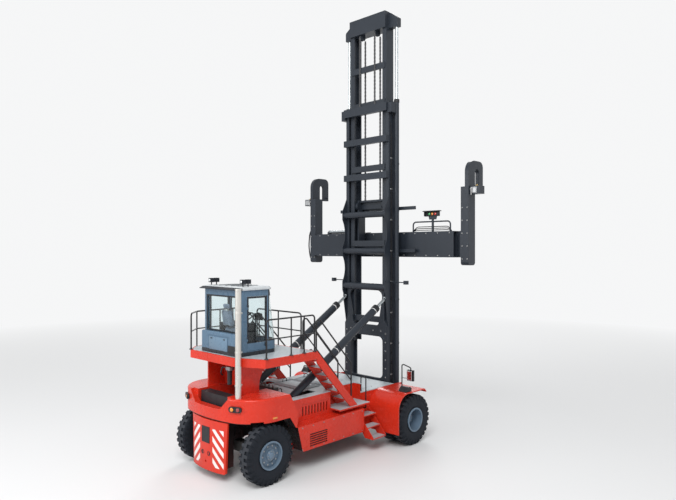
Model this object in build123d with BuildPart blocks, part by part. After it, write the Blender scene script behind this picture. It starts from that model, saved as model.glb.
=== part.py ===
from build123d import *
import os
from math import hypot

os.makedirs("parts", exist_ok=True)

# Empty container handler: a heavy mast truck with a raised cab, a duplex mast and a side spreader.
# +X forward, +Y left, +Z up, millimetres. The ground is Z 0 and the wheels turn about Y.

# Overall
WHEELBASE = 4640
REAR_OVERHANG = 785
SPREADER_REACH = 1830
FRONT_AXLE_X = (WHEELBASE + REAR_OVERHANG - SPREADER_REACH) / 2
REAR_AXLE_X = FRONT_AXLE_X - WHEELBASE
TAIL_X = REAR_AXLE_X - REAR_OVERHANG
SIDES = {"left": 1, "right": -1}

# Wheels
TYRE_RADIUS = 690
TYRE_WIDTH = 385
BEAD_RADIUS = 305
TYRE_CROWN_DROP = 22
TWIN_INNER_Y = 1490
TWIN_PITCH = 460
REAR_WHEEL_Y = 1290
RIM_WALL = 16
RIM_FLANGE = 24
HUB_BORE = 62
RUNNING = 0.3
ROD_GAP = 0.5
CLEAR = 5
AXLE_Z = TYRE_RADIUS

# Axles
KINGPIN_Y = 1030
KINGPIN_RADIUS = 42
YOKE_RADIUS = 88
YOKE_HALF_HEIGHT = 190
YOKE_PLATE = 55
SPINDLE_RADIUS = HUB_BORE - RUNNING
DRIVE_TUBE_RADIUS = 130
DIFFERENTIAL_RADIUS = 235
STEER_BEAM = 230

# Hull and decks
PLATE = 20
HULL_HALF = 1150
HULL_WALL = 40
HULL_BOTTOM = 550
INNER_WALL_LOW = 970
HULL_FRONT = 280
HULL_REAR = -3750
DECK_Z = 1740
FRONT_DECK_Z = 1500
FRONT_DECK_REAR = -1200
FRAME_HALF = 520
FRAME_TOP = 1450
FRAME_BOTTOM = 950
CHEEK_INNER = 905
CHEEK_FRONT = 640
CHEEK_TOP = 960
MAST_PIVOT = (450, 750)
MAST_PIN_RADIUS = 70
SIDE_HALF = 1500
TILT_Y = 790
TILT_UPPER = (330, 3970)
TILT_LOWER = (-3560, 1600)
TILT_PIN = 45
TILT_EYE_WIDE = 80
TILT_EYE = 80
TILT_LUG = 25
TANK_FRONT = -1450
TANK_TOP = 1170
TANK_ROUND = 60
STRIP_LEAN = 100
GRILLE_BARS = 6
GRILLE_OPEN = 0.6
GRILLE = dict(rear=-3450, front=-2850, low=620, high=950, depth=30)

PANEL = dict(rear=-3400, front=-2450, low=1210, high=1560, depth=14, slot=22, border=60)
PANEL_SLOTS = 9

# Engine
ENGINE = dict(x=(-2500, -1500), half=420, z=(700, 1600))
GEARBOX = dict(z=1000, radius=290, long=130)
ENGINE_MEMBERS = [-2300, -1750]
ENGINE_MEMBER = 80

# Landings beside the hood
LANDING_REAR = -2380
LANDING_Z = 1300
LANDING_PLATE = 40
LANDING_OUTER = 1500
WELL_INNER = 900

# Tail and counterweight
FENDER_LOW = 1450
FENDER_TOP = 2000
FENDER_FRONT = -4080
BELT_HALF = 1480
BELT_REAR_HALF = 800
BELT_SAG = 92
BELT_SIDE = 880
BELT_CORNER = (357, 1270)
TAIL_WALL = 60
WELL_REAR = 190
WELL_HALF = 600
NOTCH_Z = 1720
NOTCH_HALF = 500
NOTCH_SLOPE = 280
WEIGHT_LOW = 220
WEIGHT_HIGH = 1415
WEIGHT_HALF_TOP = 710
WEIGHT_HALF_LOW = 640
WEIGHT_PLATE = 40
WEIGHT_SAG = 115
WEIGHT_ROUND = 40
WEIGHT_CORE_FRONT = -5000
TOW_BORE_RADIUS = 30
TOW_BORE_DEPTH = 200
TOW_Z = 420

# Tower and platform
TOWER_REAR = -4900
TOWER_FRONT = -4370
TOWER_HALF = 690
TOWER_WALL = 40
PLATFORM_Z = 2900
FASCIA = 200
PLATFORM_REAR = -5160
PLATFORM_FRONT = -3150
PLATFORM_HALF = 1450
LEFT_CORNER = (390, 390)
RIGHT_CORNER = (360, 750)
DECK_SHEET = 12

# Cab
CAB_REAR = -4950
CAB_FRONT = -3830
CAB_BROW = -4050
CAB_BEND = 3300
CAB_HALF = 770
CAB_TOP = 4450
CAB_WALL = 45
CAB_SILL = 3400
CAB_FLOOR = 60
GLASS = 8
DOOR_REAR = -4800
DOOR_FRONT = -4190
DOOR_LOW = 3010
DOOR_HIGH = 4300
DOOR_THICK = 40
DOOR_GAP = 6


def ahead(distance):
    """X place a distance ahead of the front axle, behind it when negative."""
    return FRONT_AXLE_X + distance


def block(x, y, z, mode=Mode.ADD):
    """Block between the low and high values of x, y and z."""
    with Locations((sum(x) / 2, sum(y) / 2, sum(z) / 2)):
        Box(abs(x[1] - x[0]), abs(y[1] - y[0]), abs(z[1] - z[0]), mode=mode)


def rounded(profile, outline, rounds):
    """Round the corners of a sketched outline, each given by its number and a radius."""
    for corner, radius in rounds.items():
        fillet(profile.vertices().sort_by_distance(Vector(*outline[corner]))[0], radius)


def side_plate(outline, y, mode=Mode.ADD, rounds=None):
    """Plate with an (x, z) outline, between two values of y, with some corners rounded."""
    with BuildSketch(Plane.XZ.offset(-max(y))) as profile:
        with BuildLine():
            Polyline(*outline, close=True)
        make_face()
        rounded(profile, outline, rounds or {})
    extrude(profile.sketch, amount=abs(y[1] - y[0]), mode=mode)


def cross_plate(outline, x, mode=Mode.ADD, rounds=None):
    """Plate with a (y, z) outline, between two values of x, with some corners rounded."""
    with BuildSketch(Plane.YZ.offset(min(x))) as profile:
        with BuildLine():
            Polyline(*outline, close=True)
        make_face()
        rounded(profile, outline, rounds or {})
    extrude(profile.sketch, amount=abs(x[1] - x[0]), mode=mode)


def bar(start, end, radius, mode=Mode.ADD):
    """Round bar from one point to another."""
    run = Vector(*end) - Vector(*start)
    with Locations(Plane(origin=start, z_dir=run)):
        Cylinder(radius, run.length, align=(Align.CENTER, Align.CENTER, Align.MIN), mode=mode)


def bent_tube(points, bend, radius):
    """Round tube along straight runs with equal bends."""
    with BuildLine() as path:
        FilletPolyline(*points, radius=bend)
    start = path.line @ 0
    with BuildSketch(Plane(origin=start, z_dir=path.line % 0)) as section:
        Circle(radius)
    sweep(section.sketch, path=path.line)


def span(sign, inner, outer):
    """Range of y on one side, from an inner to an outer distance."""
    return (sign * inner, sign * outer) if sign > 0 else (sign * outer, sign * inner)


def save(piece, name):
    """Label a finished piece and write it."""
    piece.part.label = name
    export_step(piece.part, f"parts/{name}.step")


# Chassis hull: side walls, end walls and two cheeks that carry the mast's foot pins
with BuildPart() as hull:
    for sign in SIDES.values():
        side_plate([(ahead(HULL_REAR), HULL_BOTTOM), (ahead(CHEEK_FRONT), HULL_BOTTOM),
                    (ahead(CHEEK_FRONT), FRONT_DECK_Z - PLATE),
                    (ahead(FRONT_DECK_REAR), FRONT_DECK_Z - PLATE),
                    (ahead(FRONT_DECK_REAR), DECK_Z - PLATE), (ahead(HULL_REAR), DECK_Z - PLATE)],
                   span(sign, HULL_HALF - HULL_WALL, HULL_HALF))
        block((ahead(HULL_FRONT), ahead(CHEEK_FRONT)), span(sign, CHEEK_INNER, HULL_HALF - HULL_WALL),
              (HULL_BOTTOM, CHEEK_TOP))
    inside = (HULL_WALL - HULL_HALF, HULL_HALF - HULL_WALL)
    block((ahead(HULL_FRONT) - HULL_WALL, ahead(HULL_FRONT)), inside, (INNER_WALL_LOW, FRONT_DECK_Z - PLATE))
    block((ahead(HULL_REAR), ahead(HULL_REAR) + HULL_WALL), inside, (HULL_BOTTOM, DECK_Z - PLATE))
    block((ahead(FRONT_DECK_REAR), ahead(FRONT_DECK_REAR) + HULL_WALL), inside,
          (INNER_WALL_LOW, DECK_Z - PLATE))
    # wells for the landings, each with its own inner wall
    for sign in SIDES.values():
        well = (ahead(LANDING_REAR), ahead(FRONT_DECK_REAR))
        block(well, span(sign, WELL_INNER, HULL_HALF), (LANDING_Z - LANDING_PLATE, DECK_Z), Mode.SUBTRACT)
        block(well, span(sign, WELL_INNER - HULL_WALL, WELL_INNER), (INNER_WALL_LOW, DECK_Z - PLATE))
        block((ahead(LANDING_REAR) - HULL_WALL, ahead(LANDING_REAR)),
              span(sign, WELL_INNER - HULL_WALL, HULL_HALF),
              (INNER_WALL_LOW, DECK_Z - PLATE))
    # slotted panels let into the side walls above the tanks
    for sign in SIDES.values():
        block((ahead(PANEL["rear"]), ahead(PANEL["front"])),
              span(sign, HULL_HALF - PANEL["depth"], HULL_HALF + 1),
              (PANEL["low"], PANEL["high"]), Mode.SUBTRACT)
        for i in range(PANEL_SLOTS):
            x = ahead(PANEL["rear"]) + (i + 0.5) * (PANEL["front"] - PANEL["rear"]) / PANEL_SLOTS
            block((x - PANEL["slot"], x + PANEL["slot"]), span(sign, HULL_HALF - HULL_WALL - 1, HULL_HALF),
                  (PANEL["low"] + PANEL["border"], PANEL["high"] - PANEL["border"]), Mode.SUBTRACT)
    # cross members under the engine
    for x in ENGINE_MEMBERS:
        block((ahead(x), ahead(x) + ENGINE_MEMBER), inside, (ENGINE["z"][0] - ENGINE_MEMBER, ENGINE["z"][0]))
    # rear frame over the steering axle
    block((ahead(WEIGHT_CORE_FRONT), ahead(HULL_REAR)), (-FRAME_HALF, FRAME_HALF), (FRAME_BOTTOM, FRAME_TOP))
    # openings for the drive axle's tube and the mast's foot pins
    for sign in SIDES.values():
        bar((FRONT_AXLE_X, sign * (HULL_HALF + 1), AXLE_Z), (FRONT_AXLE_X, sign * (HULL_HALF - HULL_WALL - 1),
                                                             AXLE_Z),
            DRIVE_TUBE_RADIUS, Mode.SUBTRACT)
        bar((ahead(MAST_PIVOT[0]), sign * (CHEEK_INNER - 1), MAST_PIVOT[1]),
            (ahead(MAST_PIVOT[0]), sign * (HULL_HALF + 1), MAST_PIVOT[1]), MAST_PIN_RADIUS + RUNNING,
            Mode.SUBTRACT)
    # lugs and pins for the tilt cylinders' lower eyes
    for sign in SIDES.values():
        pin = (ahead(TILT_LOWER[0]), TILT_LOWER[1])
        for face in (-1, 1):
            inner = TILT_Y + face * (TILT_EYE_WIDE / 2 + CLEAR)
            block((ahead(HULL_REAR) + HULL_WALL, pin[0] + TILT_EYE),
                  span(sign, *sorted((inner, inner + face * TILT_LUG))),
                  (pin[1] - 150, DECK_Z - PLATE - CLEAR))
        bar((pin[0], sign * (TILT_Y - TILT_EYE_WIDE), pin[1]),
            (pin[0], sign * (TILT_Y + TILT_EYE_WIDE), pin[1]), TILT_PIN)
save(hull, "chassis_hull")

# Deck plates over the hull: the rear hood with slots for the tilt cylinders, and the lower front deck
SLOT_INNER = 640
SLOT_OUTER = 940
SLOT_REAR = -3690
SLOT_FRONT = -2700
with BuildPart() as deck:
    block((ahead(HULL_REAR), ahead(FRONT_DECK_REAR) + HULL_WALL), (-HULL_HALF, HULL_HALF),
          (DECK_Z - PLATE, DECK_Z))
    for sign in SIDES.values():
        block((ahead(SLOT_REAR), ahead(SLOT_FRONT)), span(sign, SLOT_INNER, SLOT_OUTER),
              (DECK_Z - PLATE, DECK_Z), Mode.SUBTRACT)
        block((ahead(LANDING_REAR), ahead(FRONT_DECK_REAR)), span(sign, WELL_INNER, HULL_HALF),
              (DECK_Z - PLATE, DECK_Z), Mode.SUBTRACT)
    block((ahead(FRONT_DECK_REAR) + HULL_WALL, ahead(HULL_FRONT)), (-HULL_HALF, HULL_HALF),
          (FRONT_DECK_Z - PLATE, FRONT_DECK_Z))
save(deck, "deck_plates")

# Engine block and gearbox, closed in under the hood
with BuildPart() as engine:
    block((ahead(ENGINE["x"][0]), ahead(ENGINE["x"][1])), (-ENGINE["half"], ENGINE["half"]), ENGINE["z"])
    with BuildSketch(Plane.YZ.offset(ahead(ENGINE["x"][1]))):
        with Locations((0, GEARBOX["z"])):
            Circle(GEARBOX["radius"])
    extrude(amount=GEARBOX["long"])
save(engine, "engine_block")

# Side tanks along the hull, each with a louvred grille in its face
with BuildPart() as tanks:
    for sign in SIDES.values():
        side_plate([(ahead(HULL_REAR) + TAIL_WALL, HULL_BOTTOM), (ahead(TANK_FRONT), HULL_BOTTOM),
                    (ahead(TANK_FRONT), TANK_TOP), (ahead(HULL_REAR) - STRIP_LEAN, TANK_TOP)],
                   span(sign, HULL_HALF, SIDE_HALF), rounds={0: TANK_ROUND, 1: TANK_ROUND})
        face = span(sign, SIDE_HALF - GRILLE["depth"], SIDE_HALF + 1)
        pitch = (GRILLE["high"] - GRILLE["low"]) / GRILLE_BARS
        for i in range(GRILLE_BARS):
            low = GRILLE["low"] + i * pitch
            block((ahead(GRILLE["rear"]), ahead(GRILLE["front"])), face, (low, low + pitch * GRILLE_OPEN),
                  Mode.SUBTRACT)
save(tanks, "side_tanks")

# Tail body: a belt that bows round the rear, open over the wheels below, notched for the cooler
BELT_ROUND = 45
NOTCH_ROUND = 90
ARCH_HOLLOW = 1000
STRIP_FOOT = 40
STRIP_ROUND = 120
with BuildPart() as tail:
    with BuildSketch(Plane.XY.offset(FENDER_LOW)):
        with BuildLine():
            edge_x = TAIL_X + BELT_SAG
            ThreePointArc((edge_x, BELT_REAR_HALF), (TAIL_X, 0), (edge_x, -BELT_REAR_HALF))
            for sign in SIDES.values():
                ThreePointArc((edge_x, sign * BELT_REAR_HALF),
                              (TAIL_X + BELT_CORNER[0], sign * BELT_CORNER[1]),
                              (TAIL_X + BELT_SIDE, sign * BELT_HALF))
                Line((TAIL_X + BELT_SIDE, sign * BELT_HALF), (ahead(FENDER_FRONT), sign * BELT_HALF))
            Line((ahead(FENDER_FRONT), BELT_HALF), (ahead(FENDER_FRONT), -BELT_HALF))
        make_face()
    extrude(amount=FENDER_TOP - FENDER_LOW)
    fillet(tail.faces().sort_by(Axis.Z)[-1].edges().filter_by(lambda edge: edge.center().X < ahead(FENDER_FRONT) - 1),
           BELT_ROUND)
    # the well inside the belt, open at the top between the fenders
    block((TAIL_X + WELL_REAR, ahead(FENDER_FRONT) + 1), (-WELL_HALF, WELL_HALF),
          (FENDER_LOW + PLATE, FENDER_TOP + 1), Mode.SUBTRACT)
    cross_plate([(-NOTCH_HALF, NOTCH_Z), (NOTCH_HALF, NOTCH_Z),
                 (NOTCH_HALF + NOTCH_SLOPE, FENDER_TOP + 1), (-NOTCH_HALF - NOTCH_SLOPE, FENDER_TOP + 1)],
                (TAIL_X - 1, TAIL_X + WELL_REAR + 1), Mode.SUBTRACT, {0: NOTCH_ROUND, 1: NOTCH_ROUND})
    # hollow the fenders from below
    for sign in SIDES.values():
        block((ahead(FENDER_FRONT) - ARCH_HOLLOW, ahead(FENDER_FRONT) - TAIL_WALL),
              span(sign, WELL_HALF + TAIL_WALL, BELT_HALF - TAIL_WALL),
              (FENDER_LOW - 1, FENDER_LOW + 2 * PLATE),
              Mode.SUBTRACT)
    # front strips that run down to the side tanks
    for sign in SIDES.values():
        side_plate([(ahead(FENDER_FRONT), FENDER_TOP), (ahead(FENDER_FRONT), FENDER_LOW),
                    (ahead(HULL_REAR) - STRIP_LEAN - STRIP_FOOT, TANK_TOP),
                    (ahead(HULL_REAR) - STRIP_LEAN, TANK_TOP),
                    (ahead(HULL_REAR) - TAIL_WALL, FENDER_LOW + TAIL_WALL)],
                   span(sign, HULL_HALF + 1, BELT_HALF), rounds={4: STRIP_ROUND})
save(tail, "tail_body")

# Counterweight: a convex rear plate that narrows downwards, and a core between the wheels
CORE_RAISE = 80
with BuildPart() as weight:
    with BuildSketch(Plane.XY.offset(WEIGHT_LOW)):
        with BuildLine():
            edge_x = TAIL_X + WEIGHT_SAG
            ThreePointArc((edge_x, WEIGHT_HALF_TOP), (TAIL_X, 0), (edge_x, -WEIGHT_HALF_TOP))
            Polyline((edge_x, -WEIGHT_HALF_TOP), (edge_x + WEIGHT_PLATE, -WEIGHT_HALF_TOP),
                     (edge_x + WEIGHT_PLATE, WEIGHT_HALF_TOP), (edge_x, WEIGHT_HALF_TOP))
        make_face()
    extrude(amount=WEIGHT_HIGH - WEIGHT_LOW)
    cross_plate([(-WEIGHT_HALF_LOW, WEIGHT_LOW), (WEIGHT_HALF_LOW, WEIGHT_LOW),
                 (WEIGHT_HALF_TOP, WEIGHT_HIGH), (-WEIGHT_HALF_TOP, WEIGHT_HIGH)],
                (TAIL_X, TAIL_X + WEIGHT_SAG + WEIGHT_PLATE), Mode.INTERSECT,
                {0: WEIGHT_ROUND, 1: WEIGHT_ROUND})
    core_x = (TAIL_X + WEIGHT_SAG, ahead(WEIGHT_CORE_FRONT))
    block(core_x, (-FRAME_HALF, FRAME_HALF), (WEIGHT_LOW + CORE_RAISE, FENDER_LOW))
    bar((TAIL_X - 1, 0, TOW_Z), (TAIL_X + TOW_BORE_DEPTH, 0, TOW_Z), TOW_BORE_RADIUS, Mode.SUBTRACT)
save(weight, "counterweight")

# Cooler: the radiator pack that stands in the tail's well, behind the notch
COOLER = dict(rear=250, front=520, half=560, top=1960)
FINS = 8
FIN_PITCH = 30
FIN_GAP = 14
FIN_DEPTH = 40
with BuildPart() as cooler:
    block((TAIL_X + COOLER["rear"], TAIL_X + COOLER["front"]), (-COOLER["half"], COOLER["half"]),
          (FENDER_LOW + PLATE, COOLER["top"]))
    for i in range(FINS):
        x = TAIL_X + COOLER["rear"] + PLATE + i * FIN_PITCH
        block((x, x + FIN_GAP), (FIN_DEPTH - COOLER["half"], COOLER["half"] - FIN_DEPTH),
              (COOLER["top"] - FIN_DEPTH, COOLER["top"] + 1), Mode.SUBTRACT)
save(cooler, "cooler")

# Tower: two side plates with an arched front edge that run up into the platform's fascia, and a front wall
ARCH_RADIUS = 590
UNDER_PLATFORM = PLATFORM_Z - FASCIA
with BuildPart() as tower:
    for sign in SIDES.values():
        with BuildSketch(Plane.XZ.offset(-max(span(sign, TOWER_HALF - TOWER_WALL, TOWER_HALF)))):
            with BuildLine():
                Polyline((ahead(TOWER_FRONT + ARCH_RADIUS), UNDER_PLATFORM),
                         (ahead(TOWER_REAR), UNDER_PLATFORM),
                         (ahead(TOWER_REAR), FENDER_TOP), (ahead(TOWER_FRONT), FENDER_TOP),
                         (ahead(TOWER_FRONT), UNDER_PLATFORM - ARCH_RADIUS))
                RadiusArc((ahead(TOWER_FRONT), UNDER_PLATFORM - ARCH_RADIUS),
                          (ahead(TOWER_FRONT + ARCH_RADIUS), UNDER_PLATFORM), ARCH_RADIUS)
            make_face()
        extrude(amount=TOWER_WALL)
    block((ahead(TOWER_FRONT) - TOWER_WALL, ahead(TOWER_FRONT)),
          (TOWER_WALL - TOWER_HALF, TOWER_HALF - TOWER_WALL),
          (FENDER_TOP, UNDER_PLATFORM))
save(tower, "cab_tower")

# Platform: a red frame with a fascia and cut rear corners, and the grey deck sheet in it
def platform_outline(inset):
    """Plan of the platform, or of a line inside it."""
    rear = ahead(PLATFORM_REAR) + inset
    front = ahead(PLATFORM_FRONT) - inset
    half = PLATFORM_HALF - inset
    cut = {}
    for side, (along, across) in {"left": LEFT_CORNER, "right": RIGHT_CORNER}.items():
        less = inset * (along + across - hypot(along, across))
        cut[side] = (along - less / across, across - less / along)
    Polyline((front, half), (rear + cut["left"][0], half), (rear, half - cut["left"][1]),
             (rear, cut["right"][1] - half), (rear + cut["right"][0], -half), (front, -half), close=True)


FRAME_FLOOR = 60
JOIST_Y = 900
JOIST_HALF = 30
JOIST_REAR = 500
with BuildPart() as platform:
    with BuildSketch(Plane.XY.offset(UNDER_PLATFORM)):
        with BuildLine():
            platform_outline(0)
        make_face()
    extrude(amount=FASCIA)
    with BuildSketch(Plane.XY.offset(UNDER_PLATFORM + FRAME_FLOOR)):
        with BuildLine():
            platform_outline(TOWER_WALL)
        make_face()
    extrude(amount=FASCIA, mode=Mode.SUBTRACT)
save(platform, "platform_frame")

with BuildPart() as sheet:
    with BuildSketch(Plane.XY.offset(PLATFORM_Z - DECK_SHEET)):
        with BuildLine():
            platform_outline(TOWER_WALL)
        make_face()
    extrude(amount=DECK_SHEET)
    # joists that carry the sheet on the frame
    for y in (-JOIST_Y, 0, JOIST_Y):
        block((ahead(PLATFORM_REAR) + JOIST_REAR, ahead(PLATFORM_FRONT) - TOWER_WALL),
              (y - JOIST_HALF, y + JOIST_HALF),
              (UNDER_PLATFORM + FRAME_FLOOR, PLATFORM_Z - DECK_SHEET))
save(sheet, "platform_deck")

# Exhaust stack on the right rear fender
STACK = dict(x=-5168, y=-918, radius=70, low=FENDER_TOP, high=4500)
STACK_MOUTH = 250
STACK_WALL = 8
with BuildPart() as stack:
    x, y = ahead(STACK["x"]), STACK["y"]
    bar((x, y, STACK["low"]), (x, y, STACK["high"]), STACK["radius"])
    bar((x, y, STACK["high"] - STACK_MOUTH), (x, y, STACK["high"] + 1), STACK["radius"] - STACK_WALL,
        Mode.SUBTRACT)
save(stack, "exhaust_stack")

# Stairs up to the platform: two stringers a side, seven risers from the landing
STAIR_TOP_DEPTH = 300
STAIR_RISE_PER_RUN = 1.073
STAIR_INNER = 930
STRINGER = 40
RISERS = 7


def stair_x(z, drop=0):
    """X place of the stair's upper edge at a height, or of a line a drop below it."""
    return ahead(PLATFORM_FRONT) + CLEAR / 5 + (PLATFORM_Z - drop - z) / STAIR_RISE_PER_RUN


def stair_z(x):
    """Height of the stair's upper edge at an x place."""
    return PLATFORM_Z - (x - stair_x(PLATFORM_Z)) * STAIR_RISE_PER_RUN


HUNG_X = (-1400, -900)
HUNG_STEPS = [  # inner y, outer y, top z
    (HULL_HALF, 1450, 940),
    (1330, 1600, 660),
    (1500, 1780, 400),
]
HANGER = 15
HANGER_HEAD = (850, 1110)
TREAD = 30
with BuildPart() as stringers:
    for sign in SIDES.values():
        # slanting hanger plates of the lower steps
        foot_inner, foot_outer, foot_z = HUNG_STEPS[-1]
        for x in (HUNG_X[0] - HANGER, HUNG_X[1]):
            cross_plate([(sign * HULL_HALF, HANGER_HEAD[0]), (sign * HULL_HALF, HANGER_HEAD[1]),
                         (sign * foot_outer, foot_z + TREAD), (sign * foot_outer, foot_z - TREAD),
                         (sign * foot_inner, foot_z - TREAD)], (ahead(x), ahead(x) + HANGER))
        for inner in (STAIR_INNER, PLATFORM_HALF - STRINGER):
            side_plate([(stair_x(PLATFORM_Z), PLATFORM_Z), (stair_x(LANDING_Z), LANDING_Z),
                        (stair_x(LANDING_Z, STAIR_TOP_DEPTH), LANDING_Z),
                        (stair_x(PLATFORM_Z), PLATFORM_Z - STAIR_TOP_DEPTH)],
                       span(sign, inner, inner + STRINGER))
save(stringers, "stair_stringers")

# Grey treads: the stair's, the landing plate and three hung steps below it
with BuildPart() as treads:
    for sign in SIDES.values():
        for i in range(1, RISERS):
            z = PLATFORM_Z - i * (PLATFORM_Z - LANDING_Z) / RISERS
            block((stair_x(z, STAIR_TOP_DEPTH), stair_x(z)),
                  span(sign, STAIR_INNER + STRINGER, PLATFORM_HALF - STRINGER), (z - TREAD, z))
        block((ahead(LANDING_REAR), ahead(FRONT_DECK_REAR)), span(sign, WELL_INNER, LANDING_OUTER),
              (LANDING_Z - LANDING_PLATE, LANDING_Z))
        for inner, outer, z in HUNG_STEPS:
            block((ahead(HUNG_X[0]), ahead(HUNG_X[1])), span(sign, inner, outer), (z - TREAD, z))
save(treads, "stair_treads")

# Guard rails: tubes round the platform and down the stairs, and grab bars at the hung steps
RAIL = 20
RAIL_TOP = 3800
RAIL_MID = 3350
RAIL_BEND = 90
RAIL_Y = PLATFORM_HALF - TOWER_WALL / 2
SIDE_POSTS = [-4000, -3580]
POST = 18
FRONT_RAIL_HALF = 880
HANDRAIL_FOOT_Z = 1550
MID_RAIL = 16
GRAB_X = -1080
GRAB_OUT = 90
GRAB_LOW = 1060
GRAB_TOP = 1900
GRAB_BEND = 45
with BuildPart() as rails:
    top_x = ahead(PLATFORM_FRONT) - RAIL
    for side, sign in SIDES.items():
        corner = {"left": LEFT_CORNER, "right": RIGHT_CORNER}[side]
        y = sign * RAIL_Y
        rear_x = ahead(PLATFORM_REAR) + corner[0] + 2 * RAIL
        run = [(rear_x, y), (top_x - 3 * RAIL, y)]
        posts = [(ahead(x), y) for x in SIDE_POSTS]
        if side == "left":
            posts.append((rear_x, y))
            run.insert(0, (ahead(PLATFORM_REAR) + RAIL, y - corner[1] + RAIL))
        bent_tube([(*run[0], PLATFORM_Z), *[(*place, RAIL_TOP) for place in run], (*run[-1], PLATFORM_Z)],
                  RAIL_BEND, RAIL)
        for start, end in zip(run, run[1:]):
            bar((*start, RAIL_MID), (*end, RAIL_MID), MID_RAIL)
        for post in posts:
            bar((*post, PLATFORM_Z), (*post, RAIL_TOP), POST)
        # handrails of the stair, from the platform's edge down to the stringers
        for rail_y in (STAIR_INNER + STRINGER / 2, PLATFORM_HALF - STRINGER / 2):
            foot_x = stair_x(HANDRAIL_FOOT_Z)
            fall = (foot_x - top_x) * STAIR_RISE_PER_RUN
            y = sign * rail_y
            bent_tube([(top_x, y, PLATFORM_Z), (top_x, y, RAIL_TOP), (foot_x, y, RAIL_TOP - fall),
                       (foot_x, y, stair_z(foot_x - RAIL))], RAIL_BEND, RAIL)
            bar((top_x, y, RAIL_MID), (foot_x, y, RAIL_MID - fall), MID_RAIL)
        grab = [(HULL_HALF, GRAB_LOW), (HULL_HALF + GRAB_OUT, GRAB_LOW), (HULL_HALF + GRAB_OUT, GRAB_TOP),
                (HULL_HALF - GRAB_OUT, GRAB_TOP), (HULL_HALF - GRAB_OUT, FRONT_DECK_Z)]
        bent_tube([(ahead(GRAB_X), sign * y, z) for y, z in grab], GRAB_BEND, MID_RAIL)
    # front rail between the stairs
    bent_tube([(top_x, -FRONT_RAIL_HALF, PLATFORM_Z), (top_x, -FRONT_RAIL_HALF, RAIL_TOP),
               (top_x, FRONT_RAIL_HALF, RAIL_TOP), (top_x, FRONT_RAIL_HALF, PLATFORM_Z)], RAIL_BEND, RAIL)
    bar((top_x, -FRONT_RAIL_HALF, RAIL_MID), (top_x, FRONT_RAIL_HALF, RAIL_MID), MID_RAIL)
    bar((top_x, 0, PLATFORM_Z), (top_x, 0, RAIL_TOP), POST)
save(rails, "guard_rails")

# Front fenders: a rear apron behind the twin wheels and a top sheet with a rounded front lip
FENDER_REAR = -800
FENDER_LIP = 400
FENDER_SHEET = 30
FENDER_OUTER = 2150
APRON_LOW = 430
FENDER_CURVE = 430
LIP_DROP = 90
with BuildPart() as fenders:
    rear, lip = ahead(FENDER_REAR), ahead(FENDER_LIP)
    under = FRONT_DECK_Z - FENDER_SHEET
    for sign in SIDES.values():
        side_plate([(rear, APRON_LOW), (rear, FRONT_DECK_Z), (lip, FRONT_DECK_Z),
                    (lip + LIP_DROP, FRONT_DECK_Z - LIP_DROP),
                    (lip + LIP_DROP - PLATE, FRONT_DECK_Z - LIP_DROP - PLATE),
                    (lip - PLATE / 2, under), (rear + FENDER_SHEET, under), (rear + FENDER_SHEET, APRON_LOW)],
                   span(sign, HULL_HALF, FENDER_OUTER),
                   rounds={1: FENDER_CURVE, 2: 2 * FENDER_SHEET, 5: FENDER_SHEET,
                           6: FENDER_CURVE - FENDER_SHEET})
save(fenders, "front_fenders")

# Mirrors on bent posts and head lamps, standing on the front fenders
MIRROR = dict(x=-190, y=1800, low=1780, high=2080, out=260, thick=60, half=100, rise=150, tube=16)
LAMP = dict(x=(-400, -150), y=(1830, 2100), high=1630, front=35, hood=60, back=110)
with BuildPart() as mirrors:
    for sign in SIDES.values():
        y = sign * MIRROR["y"]
        post_x, plate_x = ahead(MIRROR["x"]), ahead(MIRROR["x"]) + MIRROR["thick"]
        plate_y = y + sign * MIRROR["out"]
        bent_tube([(post_x, y, FRONT_DECK_Z), (post_x, y, MIRROR["high"] + MIRROR["rise"]),
                   (plate_x, plate_y, MIRROR["high"] + MIRROR["thick"]), (plate_x, plate_y, MIRROR["low"])],
                  3 * MIRROR["tube"], MIRROR["tube"])
        bar((post_x, y, MIRROR["low"] + MIRROR["thick"]), (plate_x, plate_y, MIRROR["low"] + MIRROR["thick"]),
            MIRROR["tube"] / 2)
        block((plate_x - MIRROR["thick"] / 2, plate_x + MIRROR["thick"] / 2),
              span(sign, MIRROR["y"] + MIRROR["out"] - MIRROR["half"],
                   MIRROR["y"] + MIRROR["out"] + MIRROR["half"]),
              (MIRROR["low"], MIRROR["high"]))
save(mirrors, "mirrors")

with BuildPart() as lamps:
    for sign in SIDES.values():
        side_plate([(ahead(LAMP["x"][0]), FRONT_DECK_Z), (ahead(LAMP["x"][1]), FRONT_DECK_Z),
                    (ahead(LAMP["x"][1]), LAMP["high"] - LAMP["front"]),
                    (ahead(LAMP["x"][1]) - LAMP["hood"], LAMP["high"]),
                    (ahead(LAMP["x"][0]) + LAMP["back"], LAMP["high"])], span(sign, *LAMP["y"]),
                   rounds={3: LAMP["hood"] / 2, 4: LAMP["hood"]})
save(lamps, "head_lamps")

# Tail lamps on the rounded corners of the belt
TAIL_LAMP = dict(place=0.16, z=1780, long=330, high=130, thick=45)
with BuildPart() as tail_lamps:
    for sign in SIDES.values():
        corner = Edge.make_three_point_arc((TAIL_X + BELT_SAG, sign * BELT_REAR_HALF, TAIL_LAMP["z"]),
                                           (TAIL_X + BELT_CORNER[0], sign * BELT_CORNER[1], TAIL_LAMP["z"]),
                                           (TAIL_X + BELT_SIDE, sign * BELT_HALF, TAIL_LAMP["z"]))
        run = corner % TAIL_LAMP["place"]
        out = Vector(-run.Y, run.X, 0) * sign
        with BuildSketch(Plane(origin=corner @ TAIL_LAMP["place"] + out * RUNNING, x_dir=run, z_dir=out)):
            SlotOverall(TAIL_LAMP["long"], TAIL_LAMP["high"])
        extrude(amount=TAIL_LAMP["thick"])
save(tail_lamps, "tail_lamps")

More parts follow.
